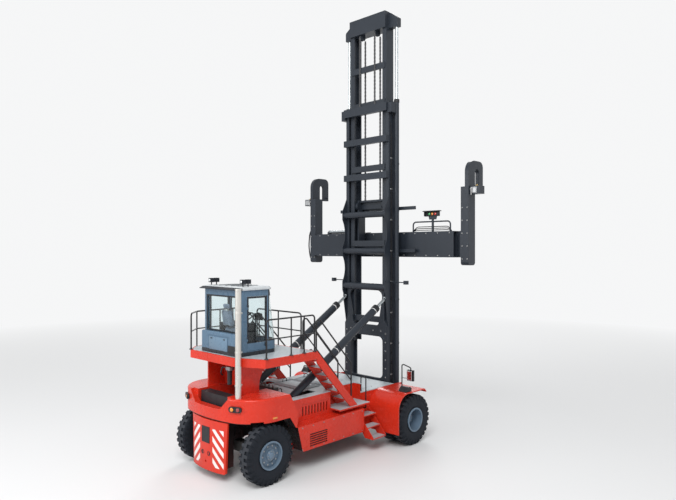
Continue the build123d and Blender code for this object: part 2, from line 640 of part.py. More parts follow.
# Cab: a hollow shell with rounded front corners that leans back above the waist, and a low box at its rear
CAB_CORNER = 220
BROW_CORNER = 125
CAB_REAR_CORNER = 60
LEAST_CORNER = 5
FRONT_GLASS_LOW = 3230
WINDOW_TOP = 4290
REAR_WINDOW = dict(half=620, low=CAB_SILL + 60, high=4270)
WINDSCREEN_SIDE = -4125
REAR_BOX = dict(depth=100, half=740, high=3420, round=35)
HATCH = dict(half=430, low=3000, high=3330, depth=10)
HINGE = 12
HINGE_HIGH = 50
HINGE_LEAF = 50
HINGE_Z = [3300, 4050]


def cab_outline(inset, front, corner):
    """Plan of the cab, or of a line inside it, with its front edge and front corners given."""
    rear = ahead(CAB_REAR) + inset
    front = ahead(front) - inset
    half = CAB_HALF - inset
    corner = corner - inset
    rear_corner = max(CAB_REAR_CORNER - inset, LEAST_CORNER)
    with BuildLine() as plan:
        Line((rear + rear_corner, half), (front - corner, half))
        RadiusArc((front - corner, half), (front, half - corner), corner)
        Line((front, half - corner), (front, corner - half))
        RadiusArc((front, corner - half), (front - corner, -half), corner)
        Line((front - corner, -half), (rear + rear_corner, -half))
        RadiusArc((rear + rear_corner, -half), (rear, rear_corner - half), rear_corner)
        Line((rear, rear_corner - half), (rear, half - rear_corner))
        RadiusArc((rear, half - rear_corner), (rear + rear_corner, half), rear_corner)
    make_face(plan.edges())


def cab_body(inset, low, mode=Mode.ADD):
    """The cab's solid, or one inside it: upright up to the waist, leaning back in front above it."""
    with BuildSketch(Plane.XY.offset(low)) as foot:
        cab_outline(inset, CAB_FRONT, CAB_CORNER)
    extrude(foot.sketch, amount=CAB_BEND - low, mode=mode)
    with BuildSketch(Plane.XY.offset(CAB_BEND)) as waist:
        cab_outline(inset, CAB_FRONT, CAB_CORNER)
    with BuildSketch(Plane.XY.offset(CAB_TOP)) as brow:
        cab_outline(inset, CAB_BROW, BROW_CORNER)
    loft([waist.sketch, brow.sketch], ruled=True, mode=mode)


def cab_windows(mode):
    """The openings of the fixed panes: windscreen and rear window."""
    block((ahead(WINDSCREEN_SIDE), ahead(CAB_FRONT) + 1), (-CAB_HALF - 1, CAB_HALF + 1),
          (FRONT_GLASS_LOW, WINDOW_TOP), mode)
    block((ahead(CAB_REAR) - 1, ahead(CAB_REAR) + CAB_WALL + 1), (-REAR_WINDOW["half"], REAR_WINDOW["half"]),
          (REAR_WINDOW["low"], REAR_WINDOW["high"]), mode)


with BuildPart() as rear_box:
    block((ahead(CAB_REAR) - REAR_BOX["depth"], ahead(CAB_REAR)), (-REAR_BOX["half"], REAR_BOX["half"]),
          (PLATFORM_Z, REAR_BOX["high"]))
    fillet(rear_box.edges().filter_by(Axis.Z).group_by(Axis.X)[0], REAR_BOX["round"])
    fillet(rear_box.faces().sort_by(Axis.Z)[-1].edges().group_by(Axis.X)[0], REAR_BOX["round"])
    block((ahead(CAB_REAR) - REAR_BOX["depth"], ahead(CAB_REAR) - REAR_BOX["depth"] + HATCH["depth"]),
          (-HATCH["half"], HATCH["half"]), (HATCH["low"], HATCH["high"]), Mode.SUBTRACT)

with BuildPart() as cab_shell:
    cab_body(0, PLATFORM_Z)
    cab_body(CAB_WALL, PLATFORM_Z + CAB_FLOOR, Mode.SUBTRACT)
    cab_windows(Mode.SUBTRACT)
    add(rear_box.part)
    for sign in SIDES.values():
        block((ahead(DOOR_REAR), ahead(DOOR_FRONT)), span(sign, CAB_HALF - CAB_WALL - 1, CAB_HALF + 1),
              (DOOR_LOW, DOOR_HIGH), Mode.SUBTRACT)
        x, y = ahead(DOOR_REAR), sign * (CAB_HALF + HINGE)
        for z in HINGE_Z:
            bar((x, y, z - HINGE_HIGH), (x, y, z), HINGE)
            block((x - HINGE_LEAF, x), span(sign, CAB_HALF, CAB_HALF + HINGE), (z - HINGE_HIGH, z))
save(cab_shell, "cab_shell")

PANE_INSET = 18
with BuildPart() as window_openings:
    cab_windows(Mode.ADD)

with BuildPart() as cab_glass:
    cab_body(PANE_INSET, PLATFORM_Z)
    cab_body(PANE_INSET + GLASS, PLATFORM_Z, Mode.SUBTRACT)
    add(window_openings.part, mode=Mode.INTERSECT)
save(cab_glass, "cab_glass")

# Cab roof: a cap that overhangs the shell, a brim over the rear window and pairs of work lights
ROOF_OVERHANG = 35
ROOF_THICK = 75
ROOF_EDGE = 40
BRIM = dict(reach=120, lip=14, half=800, rise=60)
LIGHT = dict(size=105, post=70, tube=14, inset=130, rear=130, pitch=150)
with BuildPart() as roof:
    with BuildSketch(Plane.XY.offset(CAB_TOP)):
        cab_outline(-ROOF_OVERHANG, CAB_BROW, BROW_CORNER)
    extrude(amount=ROOF_THICK)
    chamfer(roof.faces().sort_by(Axis.Z)[-1].edges(), ROOF_EDGE)
    side_plate([(ahead(CAB_REAR), CAB_TOP), (ahead(CAB_REAR), CAB_TOP + BRIM["rise"]),
                (ahead(CAB_REAR) - BRIM["reach"], CAB_TOP + BRIM["lip"]),
                (ahead(CAB_REAR) - BRIM["reach"], CAB_TOP)],
               (-BRIM["half"], BRIM["half"]))
    for sign in SIDES.values():
        for i in range(2):
            x = ahead(CAB_REAR) + LIGHT["rear"] + i * LIGHT["pitch"]
            y = sign * (CAB_HALF - LIGHT["inset"])
            foot = CAB_TOP + ROOF_THICK
            bar((x, y, foot - 1), (x, y, foot + LIGHT["post"]), LIGHT["tube"])
            with Locations((x, y, foot + LIGHT["post"] + LIGHT["size"] / 2 - 1)):
                Box(LIGHT["size"], LIGHT["size"], LIGHT["size"])
save(roof, "cab_roof")

# Doors: framed, hinged at their rear edges, each with one tall pane over a low skirt
DOOR_BORDER = 42
DOOR_SKIRT = 180
for side, sign in SIDES.items():
    y_door = span(sign, CAB_HALF - DOOR_THICK, CAB_HALF)
    door_x = (ahead(DOOR_REAR) + DOOR_GAP, ahead(DOOR_FRONT) - DOOR_GAP)
    door_z = (DOOR_LOW + DOOR_GAP, DOOR_HIGH - DOOR_GAP)
    pane_x = (door_x[0] + DOOR_BORDER, door_x[1] - DOOR_BORDER)
    pane_z = (door_z[0] + DOOR_SKIRT, door_z[1] - DOOR_BORDER)
    with BuildPart() as door:
        block(door_x, y_door, door_z)
        block(pane_x, span(sign, CAB_HALF - DOOR_THICK - 1, CAB_HALF + 1), pane_z, Mode.SUBTRACT)
        x, y = ahead(DOOR_REAR), sign * (CAB_HALF + HINGE)
        for z in HINGE_Z:
            low, high = z + RUNNING, z + RUNNING + HINGE_HIGH
            bar((x, y, low), (x, y, high), HINGE)
            block((x, x + HINGE_LEAF), span(sign, CAB_HALF, CAB_HALF + HINGE), (low, high))
    save(door, f"cab_door_{side}")
    with BuildPart() as pane:
        block(pane_x, span(sign, CAB_HALF - PANE_INSET - GLASS, CAB_HALF - PANE_INSET), pane_z)
    save(pane, f"door_glass_{side}")

# Seat and the console with the steering column inside the cab
FLOOR_Z = PLATFORM_Z + CAB_FLOOR
SEAT_X = -4760
SEAT = dict(half=250, depth=480, base=420, cushion=130, back=650, back_thick=140, lean=90)
with BuildPart() as seat:
    rear, base = ahead(SEAT_X), FLOOR_Z + SEAT["base"]
    side_plate([(rear, base), (rear + SEAT["depth"], base), (rear + SEAT["depth"], base + SEAT["cushion"]),
                (rear + SEAT["back_thick"], base + SEAT["cushion"]),
                (rear + SEAT["back_thick"] - SEAT["lean"], base + SEAT["back"]),
                (rear - SEAT["lean"], base + SEAT["back"])], (-SEAT["half"], SEAT["half"]))
save(seat, "cab_seat")

WHEEL_CENTRE = (-4230, 3720)
WHEEL_RING = 190
WHEEL_TUBE = 16
WHEEL_HUB = 40
WHEEL_FACING = (-0.5, 0, 0.87)
SEAT_BOX = dict(x=(60, 420), half=180)
ARMREST = dict(x=(40, 520), y=(280, 400), high=650)
COLUMN_LEAN = 170
COLUMN_FOOT = 80
COLUMN_RADIUS = 38
with BuildPart() as console:
    block([ahead(SEAT_X) + x for x in SEAT_BOX["x"]], (-SEAT_BOX["half"], SEAT_BOX["half"]),
          (FLOOR_Z, FLOOR_Z + SEAT["base"]))
    for sign in SIDES.values():
        block([ahead(SEAT_X) + x for x in ARMREST["x"]], span(sign, *ARMREST["y"]),
              (FLOOR_Z, FLOOR_Z + ARMREST["high"]))
    with Locations(Plane(origin=(ahead(WHEEL_CENTRE[0]), 0, WHEEL_CENTRE[1]), z_dir=WHEEL_FACING)):
        Torus(WHEEL_RING, WHEEL_TUBE)
        Cylinder(WHEEL_HUB, WHEEL_HUB)
        Box(2 * WHEEL_RING, WHEEL_HUB, WHEEL_TUBE)
    column_x = ahead(WHEEL_CENTRE[0]) + COLUMN_LEAN
    block((column_x - COLUMN_FOOT, column_x + COLUMN_FOOT), (-COLUMN_FOOT, COLUMN_FOOT),
          (FLOOR_Z, FLOOR_Z + COLUMN_FOOT))
    bar((column_x, 0, FLOOR_Z + COLUMN_FOOT / 2), (ahead(WHEEL_CENTRE[0]), 0, WHEEL_CENTRE[1]), COLUMN_RADIUS)
save(console, "cab_console")

# Drive axle: tube and differential, with a spindle for each pair of twin wheels
DRIVE_TUBE_HALF = 1240
DIFFERENTIAL_HALF = 330
TWIN_MID_Y = TWIN_INNER_Y + TWIN_PITCH / 2
SPINDLE_END = TWIN_MID_Y + 40
with BuildPart() as drive_axle:
    for half, radius in ((DRIVE_TUBE_HALF, DRIVE_TUBE_RADIUS - RUNNING),
                         (DIFFERENTIAL_HALF, DIFFERENTIAL_RADIUS),
                         (SPINDLE_END, SPINDLE_RADIUS)):
        bar((FRONT_AXLE_X, -half, AXLE_Z), (FRONT_AXLE_X, half, AXLE_Z), radius)
save(drive_axle, "drive_axle")

# Steering axle: a beam hung below the rear frame, with a yoke at each end
BEAM_HALF_HEIGHT = 120
SADDLE = (180, 230)
YOKE_ROOT = 160
BEAM_END = KINGPIN_Y - 150
with BuildPart() as steer_axle:
    block((REAR_AXLE_X - STEER_BEAM / 2, REAR_AXLE_X + STEER_BEAM / 2), (-BEAM_END, BEAM_END),
          (AXLE_Z - BEAM_HALF_HEIGHT, AXLE_Z + BEAM_HALF_HEIGHT))
    block((REAR_AXLE_X - SADDLE[0], REAR_AXLE_X + SADDLE[0]), (-SADDLE[1], SADDLE[1]),
          (AXLE_Z + BEAM_HALF_HEIGHT - 1, FRAME_BOTTOM))
    for sign in SIDES.values():
        for level in (AXLE_Z - YOKE_HALF_HEIGHT, AXLE_Z + YOKE_HALF_HEIGHT - YOKE_PLATE):
            block((REAR_AXLE_X - YOKE_RADIUS, REAR_AXLE_X + YOKE_RADIUS),
                  span(sign, BEAM_END - YOKE_ROOT, KINGPIN_Y),
                  (level, level + YOKE_PLATE))
            bar((REAR_AXLE_X, sign * KINGPIN_Y, level), (REAR_AXLE_X, sign * KINGPIN_Y, level + YOKE_PLATE),
                YOKE_RADIUS)
            bar((REAR_AXLE_X, sign * KINGPIN_Y, level - 1),
                (REAR_AXLE_X, sign * KINGPIN_Y, level + YOKE_PLATE + 1),
                KINGPIN_RADIUS, Mode.SUBTRACT)
        # struts between the beam's end and the yoke plates
        block((REAR_AXLE_X - YOKE_RADIUS, REAR_AXLE_X + YOKE_RADIUS),
              span(sign, BEAM_END - YOKE_ROOT, BEAM_END),
              (AXLE_Z - YOKE_HALF_HEIGHT, AXLE_Z + YOKE_HALF_HEIGHT))
save(steer_axle, "steer_axle")

# Knuckles: a kingpin in the yoke, and the spindle of the rear wheel
KNUCKLE_HALF = 75
REAR_SPINDLE_END = REAR_WHEEL_Y + 90
for side, sign in SIDES.items():
    with BuildPart() as knuckle:
        bar((REAR_AXLE_X, sign * KINGPIN_Y, AXLE_Z - YOKE_HALF_HEIGHT),
            (REAR_AXLE_X, sign * KINGPIN_Y, AXLE_Z + YOKE_HALF_HEIGHT), KINGPIN_RADIUS - RUNNING)
        bar((REAR_AXLE_X, sign * KINGPIN_Y, AXLE_Z - YOKE_HALF_HEIGHT + YOKE_PLATE + CLEAR),
            (REAR_AXLE_X, sign * KINGPIN_Y, AXLE_Z + YOKE_HALF_HEIGHT - YOKE_PLATE - CLEAR), KNUCKLE_HALF)
        bar((REAR_AXLE_X, sign * KINGPIN_Y, AXLE_Z), (REAR_AXLE_X, sign * REAR_SPINDLE_END, AXLE_Z),
            SPINDLE_RADIUS)
    save(knuckle, f"knuckle_{side}")

# Wheels: tyres and rims, revolved about Y
HALF_WIDTH = TYRE_WIDTH / 2
SHOULDER = 45
BEAD_INSET = 40
BEAD_TAPER = 110
FLANGE_GAP = 13
FLANGE_THICK = 14
RIM_DISC = 26
RIM_RADIUS = BEAD_RADIUS - RUNNING
HUB_RADIUS = 115


def wheel_plane(x, y):
    """Plane through a wheel's middle: across the wheel along Y, up along Z."""
    return Plane(origin=(x, y, AXLE_Z), x_dir=(0, 1, 0), z_dir=(1, 0, 0))


def tyre(x, y):
    """Tyre with a crowned tread, straight shoulders and tapering beads."""
    shoulder = (HALF_WIDTH - SHOULDER, TYRE_RADIUS - TYRE_CROWN_DROP)
    with BuildSketch(wheel_plane(x, y)) as section:
        with BuildLine():
            Polyline((-shoulder[0], shoulder[1]), (-HALF_WIDTH, shoulder[1] - SHOULDER),
                     (-HALF_WIDTH, BEAD_RADIUS + BEAD_TAPER), (BEAD_INSET - HALF_WIDTH, BEAD_RADIUS),
                     (HALF_WIDTH - BEAD_INSET, BEAD_RADIUS), (HALF_WIDTH, BEAD_RADIUS + BEAD_TAPER),
                     (HALF_WIDTH, shoulder[1] - SHOULDER), shoulder)
            ThreePointArc(shoulder, (0, TYRE_RADIUS), (-shoulder[0], shoulder[1]))
        make_face()
    revolve(section.sketch, Axis((x, y, AXLE_Z), (0, 1, 0)))


def ring(x, y, across, radii):
    """Ring or disc of a wheel, between two places across it and two radii."""
    with BuildSketch(wheel_plane(x, y)) as section:
        with Locations((sum(across) / 2, sum(radii) / 2)):
            Rectangle(abs(across[1] - across[0]), radii[1] - radii[0])
    revolve(section.sketch, Axis((x, y, AXLE_Z), (0, 1, 0)))


def rim(x, y, sign, disc):
    """Rim barrel with two flanges and a disc, placed across the rim towards its outer side."""
    edge = HALF_WIDTH - BEAD_INSET
    reach = edge + FLANGE_GAP + FLANGE_THICK
    ring(x, y, (-reach, reach), (RIM_RADIUS - RIM_WALL, RIM_RADIUS))
    for out in (-1, 1):
        ring(x, y, (out * (edge + FLANGE_GAP), out * reach), (RIM_RADIUS - RIM_WALL, RIM_RADIUS + RIM_FLANGE))
    ring(x, y, (sign * disc, sign * (disc - RIM_DISC)), (HUB_BORE, RIM_RADIUS - RIM_WALL + 1))


DUAL_SPACER = 235
SPACER_WALL = 30
DISC_INSET = 70
REAR_DISC = 110
FLANGE_HUB = 155
HUB_COVER = dict(gap=10, long=130)
REAR_HUB = dict(start=15, cover=60, step=15)
for side, sign in SIDES.items():
    with BuildPart() as twin_tyres:
        for y in (TWIN_INNER_Y, TWIN_INNER_Y + TWIN_PITCH):
            tyre(FRONT_AXLE_X, sign * y)
    save(twin_tyres, f"front_tyres_{side}")
    with BuildPart() as twin_rims:
        rim(FRONT_AXLE_X, sign * TWIN_INNER_Y, sign, HALF_WIDTH - DISC_INSET)
        rim(FRONT_AXLE_X, sign * (TWIN_INNER_Y + TWIN_PITCH), sign, DISC_INSET - HALF_WIDTH)
        spacer_in = TWIN_INNER_Y + HALF_WIDTH - DISC_INSET
        spacer_out = TWIN_INNER_Y + TWIN_PITCH - HALF_WIDTH + DISC_INSET
        ring(FRONT_AXLE_X, 0, (sign * (spacer_in - 1), sign * (spacer_out + 1)),
             (DUAL_SPACER - SPACER_WALL, DUAL_SPACER))
        hub_end = SPINDLE_END + HUB_COVER["gap"]
        ring(FRONT_AXLE_X, 0, (sign * (DRIVE_TUBE_HALF + CLEAR), sign * hub_end), (HUB_BORE, FLANGE_HUB))
        ring(FRONT_AXLE_X, 0, (sign * hub_end, sign * (hub_end + HUB_COVER["long"])), (0, HUB_RADIUS))
    save(twin_rims, f"front_rims_{side}")
    with BuildPart() as rear_tyre:
        tyre(REAR_AXLE_X, sign * REAR_WHEEL_Y)
    save(rear_tyre, f"rear_tyre_{side}")
    with BuildPart() as rear_rim:
        rim(REAR_AXLE_X, sign * REAR_WHEEL_Y, sign, REAR_DISC)
        hub_start = KINGPIN_Y + YOKE_RADIUS + REAR_HUB["start"]
        hub_end = REAR_SPINDLE_END + CLEAR
        ring(REAR_AXLE_X, 0, (sign * hub_start, sign * hub_end), (HUB_BORE, HUB_RADIUS))
        ring(REAR_AXLE_X, 0, (sign * hub_end, sign * (REAR_SPINDLE_END + REAR_HUB["cover"])),
             (0, HUB_RADIUS - REAR_HUB["step"]))
    save(rear_rim, f"rear_rim_{side}")

# Outer mast: two channel rails open inwards, cross tubes behind them and a top beam
MAST_REAR = 400
MAST_DEPTH = 400
MAST_HALF = 855
RAIL_WEB = 45
RAIL_FLANGE = 115
FLANGE_PLATE = 50
MAST_LOW = 380
OUTER_TOP = 9850
TUBE_X = 320
CROSS_TUBES = [  # height, radius
    (4290, 105),
    (5370, 95),
    (6480, 95),
]
CROSS_BARS = [7640, 8720]
BAR_HEIGHT = 190
BAR_DEPTH = 120
TOP_BEAM_Z = 9670
TOP_BEAM_HEIGHT = 250
BACK_PLATE = dict(thick=60, low=1200, step=(3135, 3300), high=4290, inner=735)
UPPER_WINDOW = dict(low=3135, high=4185, half_low=500, half_high=690, low_round=90, high_round=190)
LOWER_WINDOW = dict(low=1560, high=2805, half=665, round=150)
WING = 190
WING_FLAT = 130
WING_WAIST = 75
WING_ENDS = (3070, 7000)
WING_PLATE = 18
TILT_LUG_HALF = 75
TILT_UPPER_PIN = 28
TOP_BRACKET = dict(x=(-60, 150), out=150, z=(-190, 110))
WORK_LIGHT = dict(x=60, y=1450, z=4450, tube=15, size=110)
with BuildPart() as outer_mast:
    for sign in SIDES.values():
        x = (ahead(MAST_REAR), ahead(MAST_REAR + MAST_DEPTH))
        block(x, span(sign, MAST_HALF - RAIL_WEB, MAST_HALF), (MAST_LOW, OUTER_TOP))
        for edge in (x[0], x[1] - FLANGE_PLATE):
            block((edge, edge + FLANGE_PLATE), span(sign, MAST_HALF - RAIL_FLANGE, MAST_HALF - RAIL_WEB),
                  (MAST_LOW, OUTER_TOP))
        # foot pins
        bar((ahead(MAST_PIVOT[0]), sign * (MAST_HALF - RAIL_WEB), MAST_PIVOT[1]),
            (ahead(MAST_PIVOT[0]), sign * (HULL_HALF - PLATE), MAST_PIVOT[1]), MAST_PIN_RADIUS)
        # scalloped wings that flare rearwards round the cross tubes and carry the tilt cylinders' pins
        wing_y = span(sign, MAST_HALF - WING_PLATE, MAST_HALF)
        lug_x = ahead(TILT_UPPER[0]) - TILT_LUG_HALF
        with BuildSketch(Plane.XZ.offset(-max(wing_y))):
            with BuildLine():
                heights = [z for z, radius in CROSS_TUBES]
                edge = x[0] - WING
                Polyline((x[0], WING_ENDS[1]), (x[0], WING_ENDS[0]), (lug_x, TILT_UPPER[1] - TILT_LUG_HALF),
                         (lug_x, TILT_UPPER[1] + TILT_LUG_HALF), (edge, heights[0] - WING_FLAT),
                         (edge, heights[0] + WING_FLAT))
                for low, high in zip(heights, heights[1:]):
                    ThreePointArc((edge, low + WING_FLAT), (x[0] - WING_WAIST, (low + high) / 2),
                                  (edge, high - WING_FLAT))
                    Line((edge, high - WING_FLAT), (edge, high + WING_FLAT))
                Line((edge, heights[-1] + WING_FLAT), (x[0], WING_ENDS[1]))
            make_face()
        extrude(amount=WING_PLATE)
        bar((ahead(TILT_UPPER[0]), sign * (TILT_Y - TILT_EYE_WIDE / 2 - CLEAR), TILT_UPPER[1]),
            (ahead(TILT_UPPER[0]), sign * (MAST_HALF - 1), TILT_UPPER[1]), TILT_UPPER_PIN)
        # brackets at the ends of the top beam
        block([x[0] + step for step in TOP_BRACKET["x"]],
              span(sign, MAST_HALF, MAST_HALF + TOP_BRACKET["out"]),
              [TOP_BEAM_Z + step for step in TOP_BRACKET["z"]])
        # work lights on bars beside the rails
        light_x = x[0] + WORK_LIGHT["x"]
        bar((light_x, sign * (MAST_HALF - 1), WORK_LIGHT["z"]),
            (light_x, sign * WORK_LIGHT["y"], WORK_LIGHT["z"]),
            WORK_LIGHT["tube"])
        with Locations((light_x, sign * WORK_LIGHT["y"], WORK_LIGHT["z"])):
            Box(WORK_LIGHT["size"], WORK_LIGHT["size"], WORK_LIGHT["size"])
    for z, radius in CROSS_TUBES:
        bar((ahead(TUBE_X), WING_PLATE - MAST_HALF, z), (ahead(TUBE_X), MAST_HALF - WING_PLATE, z), radius)
    behind = (ahead(MAST_REAR) - BAR_DEPTH, ahead(MAST_REAR))
    whole_y = (-MAST_HALF, MAST_HALF)
    for z, height in (*[(z, BAR_HEIGHT) for z in CROSS_BARS], (TOP_BEAM_Z, TOP_BEAM_HEIGHT)):
        block(behind, whole_y, (z - height / 2, z + height / 2))
    # back plate of the lower mast with an arched and a square window
    plate_x = (ahead(MAST_REAR) - BACK_PLATE["thick"], ahead(MAST_REAR))
    step_low, step_high = BACK_PLATE["step"]
    cross_plate([(-MAST_HALF, BACK_PLATE["low"]), (MAST_HALF, BACK_PLATE["low"]), (MAST_HALF, step_low),
                 (BACK_PLATE["inner"], step_high), (BACK_PLATE["inner"], BACK_PLATE["high"]),
                 (-BACK_PLATE["inner"], BACK_PLATE["high"]), (-BACK_PLATE["inner"], step_high),
                 (-MAST_HALF, step_low)],
                plate_x)
    upper = UPPER_WINDOW
    cross_plate([(-upper["half_low"], upper["low"]), (upper["half_low"], upper["low"]),
                 (upper["half_high"], upper["high"]), (-upper["half_high"], upper["high"])], plate_x,
                Mode.SUBTRACT,
                {0: upper["low_round"], 1: upper["low_round"], 2: upper["high_round"],
                 3: upper["high_round"]})
    lower = LOWER_WINDOW
    cross_plate([(-lower["half"], lower["low"]), (lower["half"], lower["low"]),
                 (lower["half"], lower["high"]), (-lower["half"], lower["high"])], plate_x, Mode.SUBTRACT,
                {corner: lower["round"] for corner in range(4)})
save(outer_mast, "outer_mast")

# Lift cylinders beside the rails: barrels on the outer mast, rods under the inner mast's ears
LIFT_X = 665
LIFT_Y = 950
LIFT_BARREL = 72
LIFT_ROD = 45
LIFT_LOW = 1000
LIFT_HEAD = 9900
LIFT_FLOOR = 2600
LIFT_CLAMP = dict(middle=5200, drop=200, half=50, high=120)
INNER_TOP = 12560
TOP_BEAM_LOW = 12070
ROD_END = 4900
with BuildPart() as lift_barrels:
    for sign in SIDES.values():
        bar((ahead(LIFT_X), sign * LIFT_Y, LIFT_LOW), (ahead(LIFT_X), sign * LIFT_Y, LIFT_HEAD), LIFT_BARREL)
        # brackets back to the rail
        for z in (LIFT_LOW, LIFT_CLAMP["middle"], LIFT_HEAD - LIFT_CLAMP["drop"]):
            block((ahead(LIFT_X) - LIFT_CLAMP["half"], ahead(LIFT_X) + LIFT_CLAMP["half"]),
                  span(sign, MAST_HALF, LIFT_Y),
                  (z, z + LIFT_CLAMP["high"]))
        bar((ahead(LIFT_X), sign * LIFT_Y, LIFT_FLOOR), (ahead(LIFT_X), sign * LIFT_Y, LIFT_HEAD + 1),
            LIFT_ROD + ROD_GAP, Mode.SUBTRACT)
save(lift_barrels, "lift_barrels")

with BuildPart() as lift_rods:
    for sign in SIDES.values():
        bar((ahead(LIFT_X), sign * LIFT_Y, ROD_END), (ahead(LIFT_X), sign * LIFT_Y, TOP_BEAM_LOW), LIFT_ROD)
save(lift_rods, "lift_rods")

# Inner mast: channel rails inside the outer ones, cross bars and the top beam with an ear over each rod
INNER_REAR = 460
INNER_HALF = 715
INNER_FLANGE = 150
INNER_LOW = 2560
INNER_BARS = [10960, 9850, 7900, 5600, 3300]
INNER_BAR = dict(x=(432, 495), high=180)
EAR_HALF = 1040
EAR_WIDE = 180
EAR_SLOPE = 230
EAR_ROUND = 60
SHEAVE = dict(x=548.7, z=12020, radius=130, y=300, wide=60, groove=22)
INNER_PLATE = 40
with BuildPart() as inner_mast:
    x = (ahead(INNER_REAR), ahead(MAST_REAR + MAST_DEPTH))
    for sign in SIDES.values():
        block(x, span(sign, INNER_HALF - RAIL_WEB, INNER_HALF), (INNER_LOW, TOP_BEAM_LOW))
        for edge in (x[0], x[1] - INNER_PLATE):
            block((edge, edge + INNER_PLATE), span(sign, INNER_HALF - INNER_FLANGE, INNER_HALF - RAIL_WEB),
                  (INNER_LOW, TOP_BEAM_LOW))
        cross_plate([(sign * (INNER_HALF - 1), TOP_BEAM_LOW), (sign * EAR_HALF, TOP_BEAM_LOW),
                     (sign * EAR_HALF, INNER_TOP - EAR_SLOPE), (sign * (INNER_HALF - 1), INNER_TOP)],
                    (ahead(LIFT_X) - EAR_WIDE / 2, ahead(LIFT_X) + EAR_WIDE / 2), rounds={2: EAR_ROUND})
    for z in INNER_BARS:
        block((ahead(INNER_BAR["x"][0]), ahead(INNER_BAR["x"][1])),
              (RAIL_WEB - INNER_HALF, INNER_HALF - RAIL_WEB),
              (z - INNER_BAR["high"] / 2, z + INNER_BAR["high"] / 2))
    block((ahead(MAST_REAR), x[1]), (-INNER_HALF, INNER_HALF), (TOP_BEAM_LOW, INNER_TOP))
    # sheaves on cheeks under the top beam
    for sign in SIDES.values():
        with BuildSketch(Plane.XZ.offset(-(sign * SHEAVE["y"] + SHEAVE["wide"] / 2))) as wheel:
            with Locations((ahead(SHEAVE["x"]), SHEAVE["z"])):
                Circle(SHEAVE["radius"] - SHEAVE["groove"])
        extrude(wheel.sketch, amount=SHEAVE["wide"])
save(inner_mast, "inner_mast")

# Lift chains: one run behind the inner mast's bars to the outer top beam, one in front to the carriage
CHAIN_WIDE = 70
CHAIN_THICK = 26
CARRIAGE_LOW = 5250
CARRIAGE_TOP = 6950
CHAIN_REAR_LOW = 9700
with BuildPart() as chains_rear:
    for sign in SIDES.values():
        y = span(sign, SHEAVE["y"] - CHAIN_WIDE / 2, SHEAVE["y"] + CHAIN_WIDE / 2)
        x = ahead(SHEAVE["x"]) - SHEAVE["radius"]
        block((x - CHAIN_THICK / 2, x + CHAIN_THICK / 2), y, (CHAIN_REAR_LOW, SHEAVE["z"]))
save(chains_rear, "lift_chains_rear")

with BuildPart() as chains_front:
    for sign in SIDES.values():
        y = span(sign, SHEAVE["y"] - CHAIN_WIDE / 2, SHEAVE["y"] + CHAIN_WIDE / 2)
        x = ahead(SHEAVE["x"]) + SHEAVE["radius"]
        block((x - CHAIN_THICK / 2, x + CHAIN_THICK / 2), y, (CARRIAGE_TOP, SHEAVE["z"]))
save(chains_front, "lift_chains_front")

# Carriage: side plates with rollers in the inner rails, and cross plates that carry the side shift rails
CARRIAGE_REAR = 575
CARRIAGE_FRONT = 880
CARRIAGE_HALF = 540
CARRIAGE_PLATE = 60
ROLLER_X = (INNER_REAR + MAST_REAR + MAST_DEPTH) / 2
ROLLER = MAST_REAR + MAST_DEPTH - ROLLER_X - INNER_PLATE - RUNNING
SHIFT_RAIL = 50
SHIFT_HALF = 1500
SHIFT_Z = [CARRIAGE_LOW + 80, CARRIAGE_TOP - 350]
SHIFT_TOP = SHIFT_Z[1] + 2 * SHIFT_RAIL
LIP_STEP = 62
LIP_REACH = 50
LIP_HIGH = 80
ROLLER_INSET = 180
TIE = dict(depth=100, low=20, high=280, drop=300, lid=60)
with BuildPart() as carriage:
    for sign in SIDES.values():
        side_plate([(ahead(CARRIAGE_REAR), CARRIAGE_LOW), (ahead(CARRIAGE_FRONT), CARRIAGE_LOW),
                    (ahead(CARRIAGE_FRONT), SHIFT_TOP), (ahead(CARRIAGE_FRONT) - LIP_STEP, SHIFT_TOP),
                    (ahead(CARRIAGE_FRONT) - 2 * LIP_STEP, CARRIAGE_TOP),
                    (ahead(CARRIAGE_REAR), CARRIAGE_TOP)],
                   span(sign, CARRIAGE_HALF - CARRIAGE_PLATE, CARRIAGE_HALF))
        for z in (CARRIAGE_LOW + ROLLER_INSET, CARRIAGE_TOP - ROLLER_INSET):
            bar((ahead(ROLLER_X), sign * (CARRIAGE_HALF - CARRIAGE_PLATE), z),
                (ahead(ROLLER_X), sign * (INNER_HALF - RAIL_WEB - CLEAR), z), ROLLER)
    cross_y = (CARRIAGE_PLATE - CARRIAGE_HALF, CARRIAGE_HALF - CARRIAGE_PLATE)
    tie_front = ahead(CARRIAGE_FRONT) - LIP_STEP
    for z in (CARRIAGE_LOW, CARRIAGE_TOP - TIE["drop"]):
        block((tie_front - TIE["depth"], tie_front), cross_y, (z + TIE["low"], z + TIE["high"]))
    block((ahead(SHEAVE["x"] + SHEAVE["radius"]) - 2 * CHAIN_THICK, tie_front - TIE["depth"]), cross_y,
          (CARRIAGE_TOP - TIE["lid"], CARRIAGE_TOP))
    for z in SHIFT_Z:
        block((tie_front, ahead(CARRIAGE_FRONT)), (-SHIFT_HALF, SHIFT_HALF), (z, z + 2 * SHIFT_RAIL))
save(carriage, "carriage")

